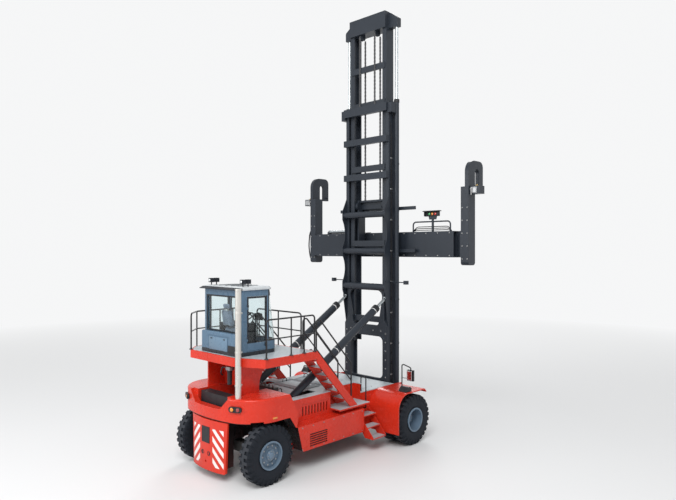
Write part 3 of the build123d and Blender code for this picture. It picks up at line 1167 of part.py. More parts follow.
# Spreader beam: a hollow box with two lanes for the arms' slide beams, hung on the carriage's rails
BEAM_REAR = 960
BEAM_FRONT = 1360
BEAM_LOW = 5190
BEAM_HIGH = 5940
BEAM_HALF = 2740
BEAM_WALL = 22
LANE_CLEAR = 6
WEAR_PAD = 120
HOOK_Y = 700
HOOK_HALF = 90
HOOK_LOW = 100
HOOP = dict(inset=60, y=(-2600, -1300), z=6230, bend=100, tube=22)
RAM = dict(y=(1250, 2350), rise=75, radius=48, foot=40)
SIGNALS = dict(y=-2000, z=(6290, 6530), half=(110, 170))
PANEL_POST = 25
with BuildPart() as spreader:
    block((ahead(BEAM_REAR), ahead(BEAM_FRONT)), (-BEAM_HALF, BEAM_HALF), (BEAM_LOW, BEAM_HIGH))
    middle = (BEAM_REAR + BEAM_FRONT) / 2
    LANES = {1: (BEAM_REAR + BEAM_WALL, middle - BEAM_WALL / 2),
             -1: (middle + BEAM_WALL / 2, BEAM_FRONT - BEAM_WALL)}
    for lane in LANES.values():
        block((ahead(lane[0]), ahead(lane[1])), (-BEAM_HALF - 1, BEAM_HALF + 1),
              (BEAM_LOW + BEAM_WALL, BEAM_HIGH - BEAM_WALL), Mode.SUBTRACT)
        # wear pads in the mouths of the lanes, under the slide beams
        for sign in SIDES.values():
            block((ahead(lane[0]), ahead(lane[1])), span(sign, BEAM_HALF - WEAR_PAD, BEAM_HALF),
                  (BEAM_LOW + BEAM_WALL, BEAM_LOW + BEAM_WALL + LANE_CLEAR - RUNNING))
    for y in (-HOOK_Y, HOOK_Y):
        hook_y = (y - HOOK_HALF, y + HOOK_HALF)
        block((ahead(CARRIAGE_FRONT) + CLEAR, ahead(BEAM_REAR)), hook_y,
              (SHIFT_Z[0] - HOOK_LOW, SHIFT_TOP + LIP_HIGH))
        block((ahead(CARRIAGE_FRONT) - LIP_REACH, ahead(CARRIAGE_FRONT) + CLEAR), hook_y,
              (SHIFT_TOP + RUNNING, SHIFT_TOP + LIP_HIGH))
    # hoop guard, slide cylinder and the panel of the signal lamps on the beam's top
    hoop_x = ahead(BEAM_REAR) + HOOP["inset"]
    bent_tube([(hoop_x, HOOP["y"][0], BEAM_HIGH), (hoop_x, HOOP["y"][0], HOOP["z"]),
               (hoop_x, HOOP["y"][1], HOOP["z"]),
               (hoop_x, HOOP["y"][1], BEAM_HIGH)], HOOP["bend"], HOOP["tube"])
    ram_x, ram_z = ahead(middle), BEAM_HIGH + RAM["rise"]
    bar((ram_x, RAM["y"][0], ram_z), (ram_x, RAM["y"][1], ram_z), RAM["radius"])
    for y in RAM["y"]:
        block((ram_x - RAM["radius"], ram_x + RAM["radius"]), (y - RAM["foot"], y + RAM["foot"]),
              (BEAM_HIGH, ram_z))
    block((hoop_x - PANEL_POST, hoop_x + PANEL_POST), (SIGNALS["y"] - PANEL_POST, SIGNALS["y"] + PANEL_POST),
          (BEAM_HIGH, SIGNALS["z"][0] + 1))
    cross_plate([(SIGNALS["y"] - SIGNALS["half"][0], SIGNALS["z"][0]),
                 (SIGNALS["y"] + SIGNALS["half"][0], SIGNALS["z"][0]),
                 (SIGNALS["y"] + SIGNALS["half"][1], SIGNALS["z"][1]),
                 (SIGNALS["y"] - SIGNALS["half"][1], SIGNALS["z"][1])],
                (hoop_x - PANEL_POST, hoop_x + PANEL_POST))
save(spreader, "spreader_beam")

# Spreader arms: a slide beam, an end column and a hooked top with the corner lock
ARM_INNER = 2920
ARM_OUTER = 3170
ARM_X = (1050, 1400)
ARM_LOW = 4970
HOOK_DROP = 7150
ARM_TOP = HOOK_DROP + 770
HOOK_INNER = 3050
HOOK_WIDE = 210
HOOK_DEEP = 230
ELBOW = 330
HOOK_ROUND = 170
INNER_ROUND = 110
ARM_PLATE = 90
SLIDE_LENGTH = 5100
LOCK_OUT = 3500
LOCK_PIN_Z = HOOK_DROP + 100
LOCK_PIN_LENGTH = 70
LOCK_PIN_RADIUS = 26
LOCK_Z = (HOOK_DROP - 190, HOOK_DROP + 30)
LOCK_INSET = 60
SLIDE_PLUG = 100
for side, sign in SIDES.items():
    lane = LANES[sign]
    with BuildPart() as arm:
        block((ahead(lane[0]) + LANE_CLEAR, ahead(lane[1]) - LANE_CLEAR),
              span(sign, ARM_INNER - SLIDE_LENGTH, ARM_INNER),
              (BEAM_LOW + BEAM_WALL + LANE_CLEAR, BEAM_HIGH - BEAM_WALL - LANE_CLEAR))
        block((ahead(lane[0]) + LANE_CLEAR + BEAM_WALL, ahead(lane[1]) - LANE_CLEAR - BEAM_WALL),
              span(sign, ARM_INNER - SLIDE_LENGTH - 1, ARM_INNER - SLIDE_PLUG),
              (BEAM_LOW + 2 * BEAM_WALL + LANE_CLEAR, BEAM_HIGH - 2 * BEAM_WALL - LANE_CLEAR), Mode.SUBTRACT)
        block((ahead(min(lane[0] + LANE_CLEAR, ARM_X[0])), ahead(ARM_X[1])),
              span(sign, ARM_INNER - ARM_PLATE / 3, ARM_INNER + ARM_PLATE), (BEAM_LOW, BEAM_HIGH))
        # the column, and the hook that bends over the container's edge like a pipe
        side_plate([(ahead(ARM_X[0]), ARM_LOW), (ahead(ARM_X[1]), ARM_LOW), (ahead(ARM_X[1]), LOCK_Z[1]),
                    (ahead(ARM_X[0]), LOCK_Z[1])], span(sign, ARM_INNER, ARM_OUTER),
                   rounds={0: ARM_PLATE, 1: ARM_PLATE})
        hook_x = ahead(SPREADER_REACH - HOOK_WIDE)
        side_plate([(ahead(ARM_X[0]), LOCK_Z[0]), (ahead(ARM_X[1]), LOCK_Z[0]),
                    (ahead(ARM_X[1]), ARM_TOP - HOOK_DEEP),
                    (hook_x, ARM_TOP - HOOK_DEEP), (hook_x, HOOK_DROP), (ahead(SPREADER_REACH), HOOK_DROP),
                    (ahead(SPREADER_REACH), ARM_TOP), (ahead(ARM_X[0]), ARM_TOP)],
                   span(sign, HOOK_INNER, ARM_OUTER),
                   rounds={2: INNER_ROUND, 3: INNER_ROUND, 6: HOOK_ROUND, 7: ELBOW})
        block((ahead(ARM_X[0]) + LOCK_INSET, ahead(ARM_X[1]) - LOCK_INSET), span(sign, ARM_OUTER, LOCK_OUT),
              LOCK_Z)
        lock_x = ahead(SPREADER_REACH - HOOK_WIDE / 2)
        bar((lock_x, sign * (HOOK_INNER + 1), LOCK_PIN_Z),
            (lock_x, sign * (HOOK_INNER - LOCK_PIN_LENGTH), LOCK_PIN_Z), LOCK_PIN_RADIUS)
    save(arm, f"spreader_arm_{side}")

# Tilt cylinders between the hull and the mast: barrels pinned below the deck slots, rods to the mast's lugs
TILT_BARREL = 100
TILT_ROD = 43
TILT_NECK = 180
ROD_EYE = 60
ROD_EYE_BORE = 36
TILT_RUN = hypot(TILT_UPPER[0] - TILT_LOWER[0], TILT_UPPER[1] - TILT_LOWER[1])
TILT_DIR = ((TILT_UPPER[0] - TILT_LOWER[0]) / TILT_RUN, (TILT_UPPER[1] - TILT_LOWER[1]) / TILT_RUN)
TILT_ROD_OUT = 480
TILT_ROD_IN = 900


def along_tilt(sign, distance):
    """Point on a tilt cylinder's line, a distance from its lower pin."""
    return (ahead(TILT_LOWER[0] + TILT_DIR[0] * distance), sign * TILT_Y,
            TILT_LOWER[1] + TILT_DIR[1] * distance)


for side, sign in SIDES.items():
    with BuildPart() as barrel:
        bar(along_tilt(sign, TILT_NECK), along_tilt(sign, TILT_RUN - TILT_ROD_OUT), TILT_BARREL)
        bar(along_tilt(sign, 0), along_tilt(sign, TILT_NECK), TILT_EYE_WIDE / 2)
        x, y, z = along_tilt(sign, 0)
        bar((x, y - TILT_EYE_WIDE / 2, z), (x, y + TILT_EYE_WIDE / 2, z), TILT_EYE)
        bar((x, y - TILT_EYE_WIDE, z), (x, y + TILT_EYE_WIDE, z), TILT_PIN + RUNNING, Mode.SUBTRACT)
        bar(along_tilt(sign, TILT_RUN - TILT_ROD_OUT - TILT_ROD_IN), along_tilt(sign, TILT_RUN),
            TILT_ROD + ROD_GAP, Mode.SUBTRACT)
    save(barrel, f"tilt_barrel_{side}")
    with BuildPart() as rod:
        bar(along_tilt(sign, TILT_RUN - TILT_ROD_OUT - TILT_ROD_IN / 2), along_tilt(sign, TILT_RUN), TILT_ROD)
        x, y, z = along_tilt(sign, TILT_RUN)
        bar((x, y - TILT_EYE_WIDE / 2, z), (x, y + TILT_EYE_WIDE / 2, z), ROD_EYE)
        bar((x, y - TILT_EYE_WIDE, z), (x, y + TILT_EYE_WIDE, z), ROD_EYE_BORE, Mode.SUBTRACT)
    save(rod, f"tilt_rod_{side}")
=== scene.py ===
from math import cos, pi, radians, sin

import bpy
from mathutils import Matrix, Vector


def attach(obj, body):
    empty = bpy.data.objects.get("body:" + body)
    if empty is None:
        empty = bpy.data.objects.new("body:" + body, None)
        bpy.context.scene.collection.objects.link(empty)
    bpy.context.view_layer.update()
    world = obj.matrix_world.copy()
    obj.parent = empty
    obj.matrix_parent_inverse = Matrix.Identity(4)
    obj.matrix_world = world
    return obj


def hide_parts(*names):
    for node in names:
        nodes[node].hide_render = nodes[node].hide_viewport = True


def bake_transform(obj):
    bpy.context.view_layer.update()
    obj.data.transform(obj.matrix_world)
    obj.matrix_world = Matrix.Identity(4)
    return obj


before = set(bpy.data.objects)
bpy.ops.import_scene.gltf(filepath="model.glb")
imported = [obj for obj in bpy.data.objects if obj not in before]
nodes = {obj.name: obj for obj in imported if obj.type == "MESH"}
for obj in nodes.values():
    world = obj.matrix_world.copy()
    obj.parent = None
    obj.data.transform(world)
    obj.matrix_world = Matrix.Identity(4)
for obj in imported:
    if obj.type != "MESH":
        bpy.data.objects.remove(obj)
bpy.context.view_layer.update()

# The yard: a plain pale floor that melts into a pale sky, lit by large soft lamps as in a studio.
# The camera stands behind the truck on its right, level at 5.4 m, so that uprights stay upright.
FLOOR_HALF = 160.0
FLOOR_GREY = (0.79, 0.795, 0.80, 1.0)
SKY_GREY = (0.92, 0.925, 0.93, 1.0)
SKY_LIGHT = 0.50
FADE_START = 9.0
FADE_END = 34.0
CAMERA_PLACE = (-11.7325, -12.0, 5.40)
CAMERA_TURN = radians(-46.5)
LENS_MM = 31.88
MAST_MIDDLE = Vector((1.0, 0.0, 4.0))
LAMPS = {
    "key_lamp": ((-18.0, -15.0, 24.0), 15.0, 6600.0),
    "fill_lamp": ((-24.0, 6.0, 12.0), 14.0, 2300.0),
    "rear_lamp": ((22.0, 16.0, 20.0), 14.0, 3000.0),
}


def start_clean():
    """Leave edit mode and drop every selection before a new piece is begun."""
    if bpy.context.object and bpy.context.object.mode != "OBJECT":
        bpy.ops.object.mode_set(mode="OBJECT")
    bpy.ops.object.select_all(action="DESELECT")


def new_material(name, **sockets):
    """A Principled material with plain socket values, its nodes and its shader."""
    finish = bpy.data.materials.new(name)
    finish.use_nodes = True
    shader = finish.node_tree.nodes["Principled BSDF"]
    for socket, value in sockets.items():
        shader.inputs[socket.replace("_", " ")].default_value = value
    return finish, finish.node_tree, shader


def add_node(tree, kind, **sockets):
    """A node with plain values in its input sockets."""
    made = tree.nodes.new(kind)
    for socket, value in sockets.items():
        made.inputs[socket.replace("_", " ")].default_value = value
    return made


def combine(tree, operation, first, second=0.0):
    """One Math node on two sockets or numbers."""
    made = tree.nodes.new("ShaderNodeMath")
    made.operation = operation
    for place, value in enumerate((first, second)):
        if isinstance(value, (int, float)):
            made.inputs[place].default_value = value
        else:
            tree.links.new(value, made.inputs[place])
    return made.outputs[0]


def map_range(tree, source, low, high, to_low, to_high):
    """Carry a value from one range to another and return the socket."""
    made = add_node(tree, "ShaderNodeMapRange", From_Min=low, From_Max=high, To_Min=to_low, To_Max=to_high)
    tree.links.new(source, made.inputs["Value"])
    return made.outputs["Result"]


def mix_colour(tree, share, first, second, blend="MIX"):
    """Mix two colours, each a socket or a value, by a share."""
    made = tree.nodes.new("ShaderNodeMix")
    made.data_type = "RGBA"
    made.blend_type = blend
    for place, value in ((0, share), (6, first), (7, second)):
        if hasattr(value, "is_output"):
            tree.links.new(value, made.inputs[place])
        else:
            made.inputs[place].default_value = value
    return made.outputs[2]


def object_place(tree):
    """The socket of a piece's own coordinates."""
    return tree.nodes.new("ShaderNodeTexCoord").outputs["Object"]


def seen_rays(tree):
    """One for rays that come from the camera, a mirror or glass, nought for light."""
    rays = tree.nodes.new("ShaderNodeLightPath")
    mirrored = combine(tree, "MAXIMUM", rays.outputs["Is Glossy Ray"], rays.outputs["Is Transmission Ray"])
    return combine(tree, "MAXIMUM", rays.outputs["Is Camera Ray"], mirrored)


start_clean()
bpy.ops.object.camera_add(location=CAMERA_PLACE, rotation=(pi / 2, 0.0, CAMERA_TURN))
camera = bpy.context.object
camera.data.lens = LENS_MM
camera.data.sensor_width = 36.0
camera.data.sensor_fit = "HORIZONTAL"
camera.data.clip_end = 600.0
scene = bpy.context.scene
scene.camera = camera
scene.view_settings.view_transform = "Standard"

world = bpy.data.worlds.new("studio_sky")
scene.world = world
world.use_nodes = True
backdrop = world.node_tree.nodes["Background"]
backdrop.inputs["Color"].default_value = SKY_GREY
level = map_range(world.node_tree, seen_rays(world.node_tree), 0.0, 1.0, SKY_LIGHT, 1.0)
world.node_tree.links.new(level, backdrop.inputs["Strength"])

for lamp_name, (place, across, watts) in LAMPS.items():
    bpy.ops.object.light_add(type="AREA", location=place)
    lamp = bpy.context.object
    lamp.name = lamp_name
    lamp.data.size = across
    lamp.data.energy = watts
    lamp.rotation_euler = (MAST_MIDDLE - Vector(place)).to_track_quat("-Z", "Y").to_euler()

start_clean()
bpy.ops.mesh.primitive_plane_add(size=2 * FLOOR_HALF)
floor = bpy.context.object
floor.name = "studio_floor"
floor_finish, tree, shader = new_material("floor_pale", Roughness=0.9, Specular_IOR_Level=0.0,
                                          Emission_Color=SKY_GREY)
reach = tree.nodes.new("ShaderNodeVectorMath")
reach.operation = "LENGTH"
tree.links.new(object_place(tree), reach.inputs[0])
far = map_range(tree, reach.outputs["Value"], FADE_START, FADE_END, 0.0, 1.0)
unlit = combine(tree, "MULTIPLY", far, seen_rays(tree))
tree.links.new(mix_colour(tree, unlit, FLOOR_GREY, (0.0, 0.0, 0.0, 1.0)), shader.inputs["Base Color"])
tree.links.new(unlit, shader.inputs["Emission Strength"])
floor.data.materials.append(floor_finish)

# Hull and deck: welded steel plate sprayed gloss red, with pale anti-slip deck plates bolted on top.
# The paint has a little orange peel, faint rain streaks down its sides and road dust near the ground.
RED_PAINT = (0.62, 0.030, 0.012, 1.0)
RED_GRIME = (0.20, 0.030, 0.022, 1.0)
DECK_GREY = (0.43, 0.48, 0.51, 1.0)
DECK_GRIME = (0.22, 0.22, 0.21, 1.0)
# Near-black painted shade for wheel wells, undersides and faces turned away from the light.
PAINTED_SHADE = (0.012, 0.012, 0.013, 1.0)
STUD_STEEL = (0.33, 0.33, 0.33, 1.0)
FAR = 9.0
WELL_TOP = 1.46
DOWN_FACING = ("NZ", -2.0, -0.5)
REAR_FACING = ("NX", -2.0, -0.5)
RED_SOIL = 0.22
RED_GLOSS = 0.24
ORIGIN = (0.0, 0.0, 0.0)
UP = (0.0, 0.0, 1.0)
FORWARD = (1.0, 0.0, 0.0)
REARWARD = (-1.0, 0.0, 0.0)


def noise(tree, coordinates, scale, detail=4.0, stretch=(1.0, 1.0, 1.0)):
    """Noise over the piece, stretched along its axes."""
    turn = add_node(tree, "ShaderNodeMapping", Scale=stretch)
    tree.links.new(coordinates, turn.inputs["Vector"])
    made = add_node(tree, "ShaderNodeTexNoise", Scale=scale, Detail=detail)
    tree.links.new(turn.outputs["Vector"], made.inputs["Vector"])
    return made.outputs["Fac"]


def build_weathering():
    """Paint that has stood outside: uneven tone, rain streaks, dust near the ground and orange peel."""
    group = bpy.data.node_groups.new("weathering", "ShaderNodeTree")
    for name, way, kind in (("Paint", "INPUT", "Color"), ("Grime", "INPUT", "Color"),
                            ("Amount", "INPUT", "Float"), ("Gloss", "INPUT", "Float"),
                            ("Color", "OUTPUT", "Color"), ("Roughness", "OUTPUT", "Float"),
                            ("Height", "OUTPUT", "Float")):
        group.interface.new_socket(name, in_out=way, socket_type=f"NodeSocket{kind}")
    given = group.nodes.new("NodeGroupInput")
    result = group.nodes.new("NodeGroupOutput")
    place = object_place(group)
    tone = map_range(group, noise(group, place, 0.7), 0.3, 0.7, 0.92, 1.06)
    fade = group.nodes.new("ShaderNodeCombineColor")
    for channel in range(3):
        group.links.new(tone, fade.inputs[channel])
    toned = mix_colour(group, 1.0, given.outputs["Paint"], fade.outputs[0], "MULTIPLY")
    streak = map_range(group, noise(group, place, 2.0, 6.0, (3.0, 3.0, 0.18)), 0.50, 0.78, 0.0, 0.55)
    axes = group.nodes.new("ShaderNodeSeparateXYZ")
    group.links.new(place, axes.inputs[0])
    low = map_range(group, axes.outputs["Z"], 0.1, 1.3, 1.0, 0.0)
    patches = map_range(group, noise(group, place, 3.0, 3.0), 0.35, 0.7, 0.25, 0.9)
    splash = combine(group, "MULTIPLY", low, patches)
    soil = combine(group, "MULTIPLY", combine(group, "MAXIMUM", streak, splash), given.outputs["Amount"])
    group.links.new(mix_colour(group, soil, toned, given.outputs["Grime"]), result.inputs["Color"])
    sheen = combine(group, "ADD", given.outputs["Gloss"],
                    map_range(group, noise(group, place, 6.0), 0.3, 0.7, -0.04, 0.07))
    dulled = combine(group, "ADD", sheen, combine(group, "MULTIPLY", soil, 0.35))
    group.links.new(dulled, result.inputs["Roughness"])
    group.links.new(noise(group, place, 70.0, 2.0), result.inputs["Height"])
    return group


weathering = build_weathering()


def weathered_paint(name, paint, grime, amount, gloss, edge=0.008, peel=0.04, metallic=0.0, glare=0.35):
    """A sprayed finish with softened edges, built on the weathering group."""
    finish, tree, shader = new_material(name, Metallic=metallic, Specular_IOR_Level=glare)
    coat = tree.nodes.new("ShaderNodeGroup")
    coat.node_tree = weathering
    for socket, value in (("Paint", paint), ("Grime", grime), ("Amount", amount), ("Gloss", gloss)):
        coat.inputs[socket].default_value = value
    tree.links.new(coat.outputs["Color"], shader.inputs["Base Color"])
    tree.links.new(coat.outputs["Roughness"], shader.inputs["Roughness"])
    rounded = add_node(tree, "ShaderNodeBevel", Radius=edge)
    rounded.samples = 4
    bump = add_node(tree, "ShaderNodeBump", Strength=peel, Distance=0.002)
    tree.links.new(coat.outputs["Height"], bump.inputs["Height"])
    tree.links.new(rounded.outputs["Normal"], bump.inputs["Normal"])
    tree.links.new(bump.outputs["Normal"], shader.inputs["Normal"])
    return finish


def dress(finish, *names):
    """Give CAD pieces a finish."""
    for name in names:
        slots = nodes[name].material_slots
        if not slots:
            nodes[name].data.materials.append(finish)
        for slot in slots:
            slot.material = finish


def pick(piece, test, kind="FACE"):
    """Select a piece's faces, edges or points by their middle and direction, and stand in edit mode."""
    bpy.context.view_layer.objects.active = piece
    bpy.ops.object.mode_set(mode="EDIT")
    bpy.ops.mesh.select_mode(type=kind)
    bpy.ops.mesh.select_all(action="DESELECT")
    bpy.ops.object.mode_set(mode="OBJECT")
    points = piece.data.vertices
    if kind == "FACE":
        for face in piece.data.polygons:
            face.select = test(face.center, face.normal)
    elif kind == "EDGE":
        for edge in piece.data.edges:
            first, second = (points[corner].co for corner in edge.vertices)
            edge.select = test((first + second) / 2, (second - first).normalized())
    else:
        for point in points:
            point.select = test(point.co, point.normal)
    bpy.ops.object.mode_set(mode="EDIT")


def settle(piece, name, finish, body, angle=35):
    """Close a piece: place into its mesh, normals outwards, smooth by angle, finish, body if any, and slot."""
    if piece.mode != "EDIT":
        bpy.context.view_layer.objects.active = piece
        bpy.ops.object.mode_set(mode="EDIT")
    bpy.ops.mesh.select_all(action="SELECT")
    bpy.ops.mesh.remove_doubles(threshold=0.00005)
    bpy.ops.mesh.normals_make_consistent(inside=False)
    bpy.ops.object.mode_set(mode="OBJECT")
    bpy.ops.object.select_all(action="DESELECT")
    piece.select_set(True)
    bpy.ops.object.transform_apply(location=True, rotation=True, scale=True)
    bpy.ops.object.shade_smooth_by_angle(angle=radians(angle))
    piece.name = name
    piece.data.name = name
    piece.data.materials.clear()
    piece.data.materials.append(finish)
    if body:
        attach(piece, body)
    return piece


def slab(low, high, rounding=0.006, turn=(0.0, 0.0, 0.0)):
    """A rounded block between two corners, turned about its middle."""
    start_clean()
    low, high = Vector(low), Vector(high)
    bpy.ops.mesh.primitive_cube_add(size=1.0, location=(low + high) / 2, rotation=turn)
    made = bpy.context.object
    made.scale = high - low
    bpy.ops.object.transform_apply(location=False, rotation=False, scale=True)
    bpy.ops.object.mode_set(mode="EDIT")
    bpy.ops.mesh.select_all(action="SELECT")
    bpy.ops.mesh.bevel(offset=rounding, segments=2, affect="EDGES")
    bpy.ops.object.mode_set(mode="OBJECT")
    return made


def turned(profile, place, axis, steps=24):
    """A turned piece: rings of (height along the axis, radius) drawn out one after another from a disc."""
    start_clean()
    facing = Vector(axis).to_track_quat("Z", "Y").to_euler()
    bpy.ops.mesh.primitive_circle_add(vertices=steps, radius=profile[0][1], fill_type="NGON", location=place,
                                      rotation=facing)
    made = bpy.context.object
    made.rotation_euler = (0.0, 0.0, 0.0)
    made.location = ORIGIN
    bpy.ops.object.mode_set(mode="EDIT")
    bpy.ops.mesh.select_all(action="SELECT")
    bpy.ops.transform.translate(value=(0.0, 0.0, profile[0][0]))
    for (height, radius), (last_height, last_radius) in zip(profile[1:], profile):
        bpy.ops.mesh.extrude_region_move(TRANSFORM_OT_translate={"value": (0.0, 0.0, height - last_height)})
        scale = radius / last_radius
        bpy.ops.transform.resize(value=(scale, scale, 1.0), center_override=(0.0, 0.0, height))
    bpy.ops.object.mode_set(mode="OBJECT")
    made.rotation_euler = facing
    made.location = place
    return made


def bridge_open_edges():
    """Join the open rims of the piece in edit mode by a band of faces."""
    bpy.ops.mesh.select_mode(type="EDGE")
    bpy.ops.mesh.select_all(action="DESELECT")
    bpy.ops.mesh.select_non_manifold(extend=False)
    bpy.ops.mesh.bridge_edge_loops()


def hoop(place, axis, inner, outer, width, steps=40):
    """A flat ring with rounded edges: a short cylinder, bored through by insets and a bridge."""
    start_clean()
    bpy.ops.mesh.primitive_cylinder_add(vertices=steps, radius=outer, depth=width, location=ORIGIN)
    made = bpy.context.object
    pick(made, lambda middle, normal: abs(normal.z) > 0.9)
    bpy.ops.mesh.inset(thickness=outer - inner, depth=0.0, use_individual=True)
    bpy.ops.mesh.delete(type="FACE")
    bridge_open_edges()
    bpy.ops.object.mode_set(mode="OBJECT")
    pick(made, lambda middle, run: abs(run.z) < 0.1 and abs(middle.to_2d().dot(run.to_2d())) < 0.01, "EDGE")
    bpy.ops.mesh.bevel(offset=0.2 * width, segments=2, affect="EDGES")
    bpy.ops.object.mode_set(mode="OBJECT")
    made.rotation_euler = Vector(axis).to_track_quat("Z", "Y").to_euler()
    made.location = place
    return made


def join(pieces):
    """Make one piece of several."""
    start_clean()
    for piece in pieces:
        piece.select_set(True)
    bpy.context.view_layer.objects.active = pieces[0]
    bpy.ops.object.transform_apply(location=True, rotation=True, scale=True)
    bpy.ops.object.join()
    return bpy.context.object


def spread(pattern, places):
    """Copy a modelled piece to several places, each copy with its own mesh, and join them."""
    copies = []
    for place in places:
        start_clean()
        pattern.select_set(True)
        bpy.context.view_layer.objects.active = pattern
        bpy.ops.object.duplicate()
        bpy.context.object.location = place
        copies.append(bpy.context.object)
    bpy.data.objects.remove(pattern)
    return join(copies)


def studs(name, places, axis, body, radius):
    """A row of bolts: round washer, six-sided head and domed top, drawn once and copied."""
    head = turned([(-0.001, 1.5 * radius), (0.004, 1.5 * radius), (0.0045, radius), (0.013, radius),
                   (0.016, 0.7 * radius)], ORIGIN, axis, 6)
    return settle(spread(head, places), name, stud_steel, body, 20)


def pipe(name, points, radius, finish, body):
    """A bent steel pipe through given points, drawn as a path with a round section and made a mesh."""
    start_clean()
    bpy.ops.curve.primitive_nurbs_path_add(location=ORIGIN)
    made = bpy.context.object
    made.data.splines.clear()
    run = made.data.splines.new("POLY")
    run.points.add(len(points) - 1)
    for point, place in zip(run.points, points):
        point.co = (*place, 1.0)
    made.data.bevel_depth = radius
    made.data.bevel_resolution = 2
    made.data.use_fill_caps = True
    bpy.ops.object.convert(target="MESH")
    return settle(bpy.context.object, name, finish, body, 50)


def bent(points, bend, steps=5):
    """The points of a pipe's run with each corner turned in a short arc."""
    run = [Vector(points[0])]
    for before, corner, after in zip(points, points[1:], points[2:]):
        corner = Vector(corner)
        start = corner + bend * (Vector(before) - corner).normalized()
        end = corner + bend * (Vector(after) - corner).normalized()
        for i in range(steps + 1):
            share = i / steps
            run.append((1 - share) ** 2 * start + 2 * share * (1 - share) * corner + share ** 2 * end)
    return [*run, Vector(points[-1])]


def find_node(tree, kind):
    """The first node of a kind."""
    return next(made for made in tree.nodes if made.bl_idname == kind)


def zone_share(tree, zones):
    """One within any zone: a list of ranges along axes, or along the surface's direction with N before."""
    axes = tree.nodes.new("ShaderNodeSeparateXYZ")
    tree.links.new(object_place(tree), axes.inputs[0])
    facing = tree.nodes.new("ShaderNodeSeparateXYZ")
    tree.links.new(tree.nodes.new("ShaderNodeNewGeometry").outputs["True Normal"], facing.inputs[0])
    inside = 0.0
    for ranges in zones:
        share = 1.0
        for axis, low, high in ranges:
            value = facing.outputs[axis[1]] if axis.startswith("N") else axes.outputs[axis]
            share = combine(tree, "MULTIPLY", share, combine(tree, "GREATER_THAN", value, low))
            share = combine(tree, "MULTIPLY", share, combine(tree, "LESS_THAN", value, high))
        inside = combine(tree, "MAXIMUM", inside, share)
    return inside


def zoned_paint(name, paint, other, zones, grime, amount, gloss, edge=0.006, glare=0.35):
    """A weathered paint that turns to another colour within given zones."""
    finish = weathered_paint(name, paint, grime, amount, gloss, edge, glare=glare)
    coat = find_node(finish.node_tree, "ShaderNodeGroup")
    share = zone_share(finish.node_tree, zones)
    finish.node_tree.links.new(mix_colour(finish.node_tree, share, paint, other), coat.inputs["Paint"])
    return finish


red_paint = weathered_paint("red_paint", RED_PAINT, RED_GRIME, RED_SOIL, RED_GLOSS)
# The hull turns near-black below the tail, on its down-facing faces and on rear-facing faces towards the tail:
# painted shade of the wheel wells and underside.
hull_paint = zoned_paint("hull_paint", RED_PAINT, PAINTED_SHADE,
                         [[("X", -FAR, -1.955), ("Z", 0.0, WELL_TOP)], [DOWN_FACING],
                          [("X", -FAR, -1.8), REAR_FACING]], RED_GRIME, RED_SOIL, RED_GLOSS)
dress(hull_paint, "chassis_hull")
deck_grey = weathered_paint("deck_grey", DECK_GREY, DECK_GRIME, 0.30, 0.5, peel=0.35)
dress(deck_grey, "deck_plates")
stud_steel = weathered_paint("stud_steel", STUD_STEEL, DECK_GRIME, 0.2, 0.35, metallic=0.6)

# Engine and running gear below the deck: cast iron and axle housings, oily and dusty, seen from low down.
# The axle ends carry the wheels' bearings, and the knuckles turn on kingpins in the steering axle.
IRON_GREY = (0.06, 0.062, 0.066, 1.0)
IRON_DUST = (0.15, 0.13, 0.11, 1.0)
engine_iron = weathered_paint("engine_iron", IRON_GREY, IRON_DUST, 0.7, 0.55, peel=0.6)
dress(engine_iron, "engine_block", "drive_axle", "steer_axle", "knuckle_left", "knuckle_right")

# Side tanks and hood: pressed steel boxes hung on the hull by bolts, the fuel tank with a screwed filler cap.
# Two hatches over the engine lie on the deck, each lifted by a grip and two bent loops.
SIDES = {"left": 1, "right": -1}
TANK_FACE = 1.5
TANK_TOP = 1.17
GRILLE = (("X", -1.66, -1.05), ("Z", 0.62, 0.95))
DECK_TOP = 1.74
FRONT_DECK_TOP = 1.50
# The tanks' rear and down-facing faces and a patch over the grille are near-black: painted shade.
tank_paint = zoned_paint("tank_paint", RED_PAINT, PAINTED_SHADE,
                         [[REAR_FACING], [DOWN_FACING], [*GRILLE, ("Y", 1.0, 1.485)],
                          [*GRILLE, ("Y", -1.485, -1.0)]], RED_GRIME, RED_SOIL, RED_GLOSS)
dress(tank_paint, "side_tanks")
for side, sign in SIDES.items():
    rows = [(-1.9 + 0.36 * i, sign * TANK_FACE, z) for i in range(7) for z in (0.60, 1.12)]
    studs(f"tank_bolts_{side}", rows, (0.0, sign, 0.0), "chassis", 0.011)
BLACK_PLASTIC = (0.018, 0.019, 0.022, 1.0)
PLASTIC_DUST = (0.10, 0.095, 0.09, 1.0)
black_plastic = weathered_paint("black_plastic", BLACK_PLASTIC, PLASTIC_DUST, 0.18, 0.42, edge=0.004, peel=0.25,
                                glare=0.25)


def moulding(piece, name, body):
    """Close a piece of black plastic."""
    return settle(piece, name, black_plastic, body)


filler = turned([(0.0, 0.075), (0.012, 0.075), (0.014, 0.058), (0.050, 0.058), (0.056, 0.050), (0.058, 0.020),
                 (0.072, 0.018)], (0.16, 1.33, TANK_TOP), UP, 20)
moulding(filler, "fuel_filler", "chassis")
for number, (rear, front) in enumerate(((-1.10, -0.38), (-0.30, 0.42))):
    lid = slab((rear, -0.56, DECK_TOP - 0.002), (front, 0.56, DECK_TOP + 0.022), 0.009)
    pick(lid, lambda middle, normal: normal.z > 0.9)
    bpy.ops.mesh.inset(thickness=0.09, depth=0.006)
    settle(lid, f"deck_hatch_{number + 1}", deck_grey, "chassis", 2)
    grip = slab((rear + 0.10, -0.09, DECK_TOP + 0.013), (rear + 0.135, 0.09, DECK_TOP + 0.040), 0.010)
    moulding(grip, f"hatch_grip_{number + 1}", "chassis")
places = [(x, y, DECK_TOP) for x in (-1.85, -1.30, 0.55) for y in (-0.50, 0.50)]
places += [(x, y, FRONT_DECK_TOP) for x in (0.75, 1.35, 1.95) for y in (-0.9, -0.3, 0.3, 0.9)]
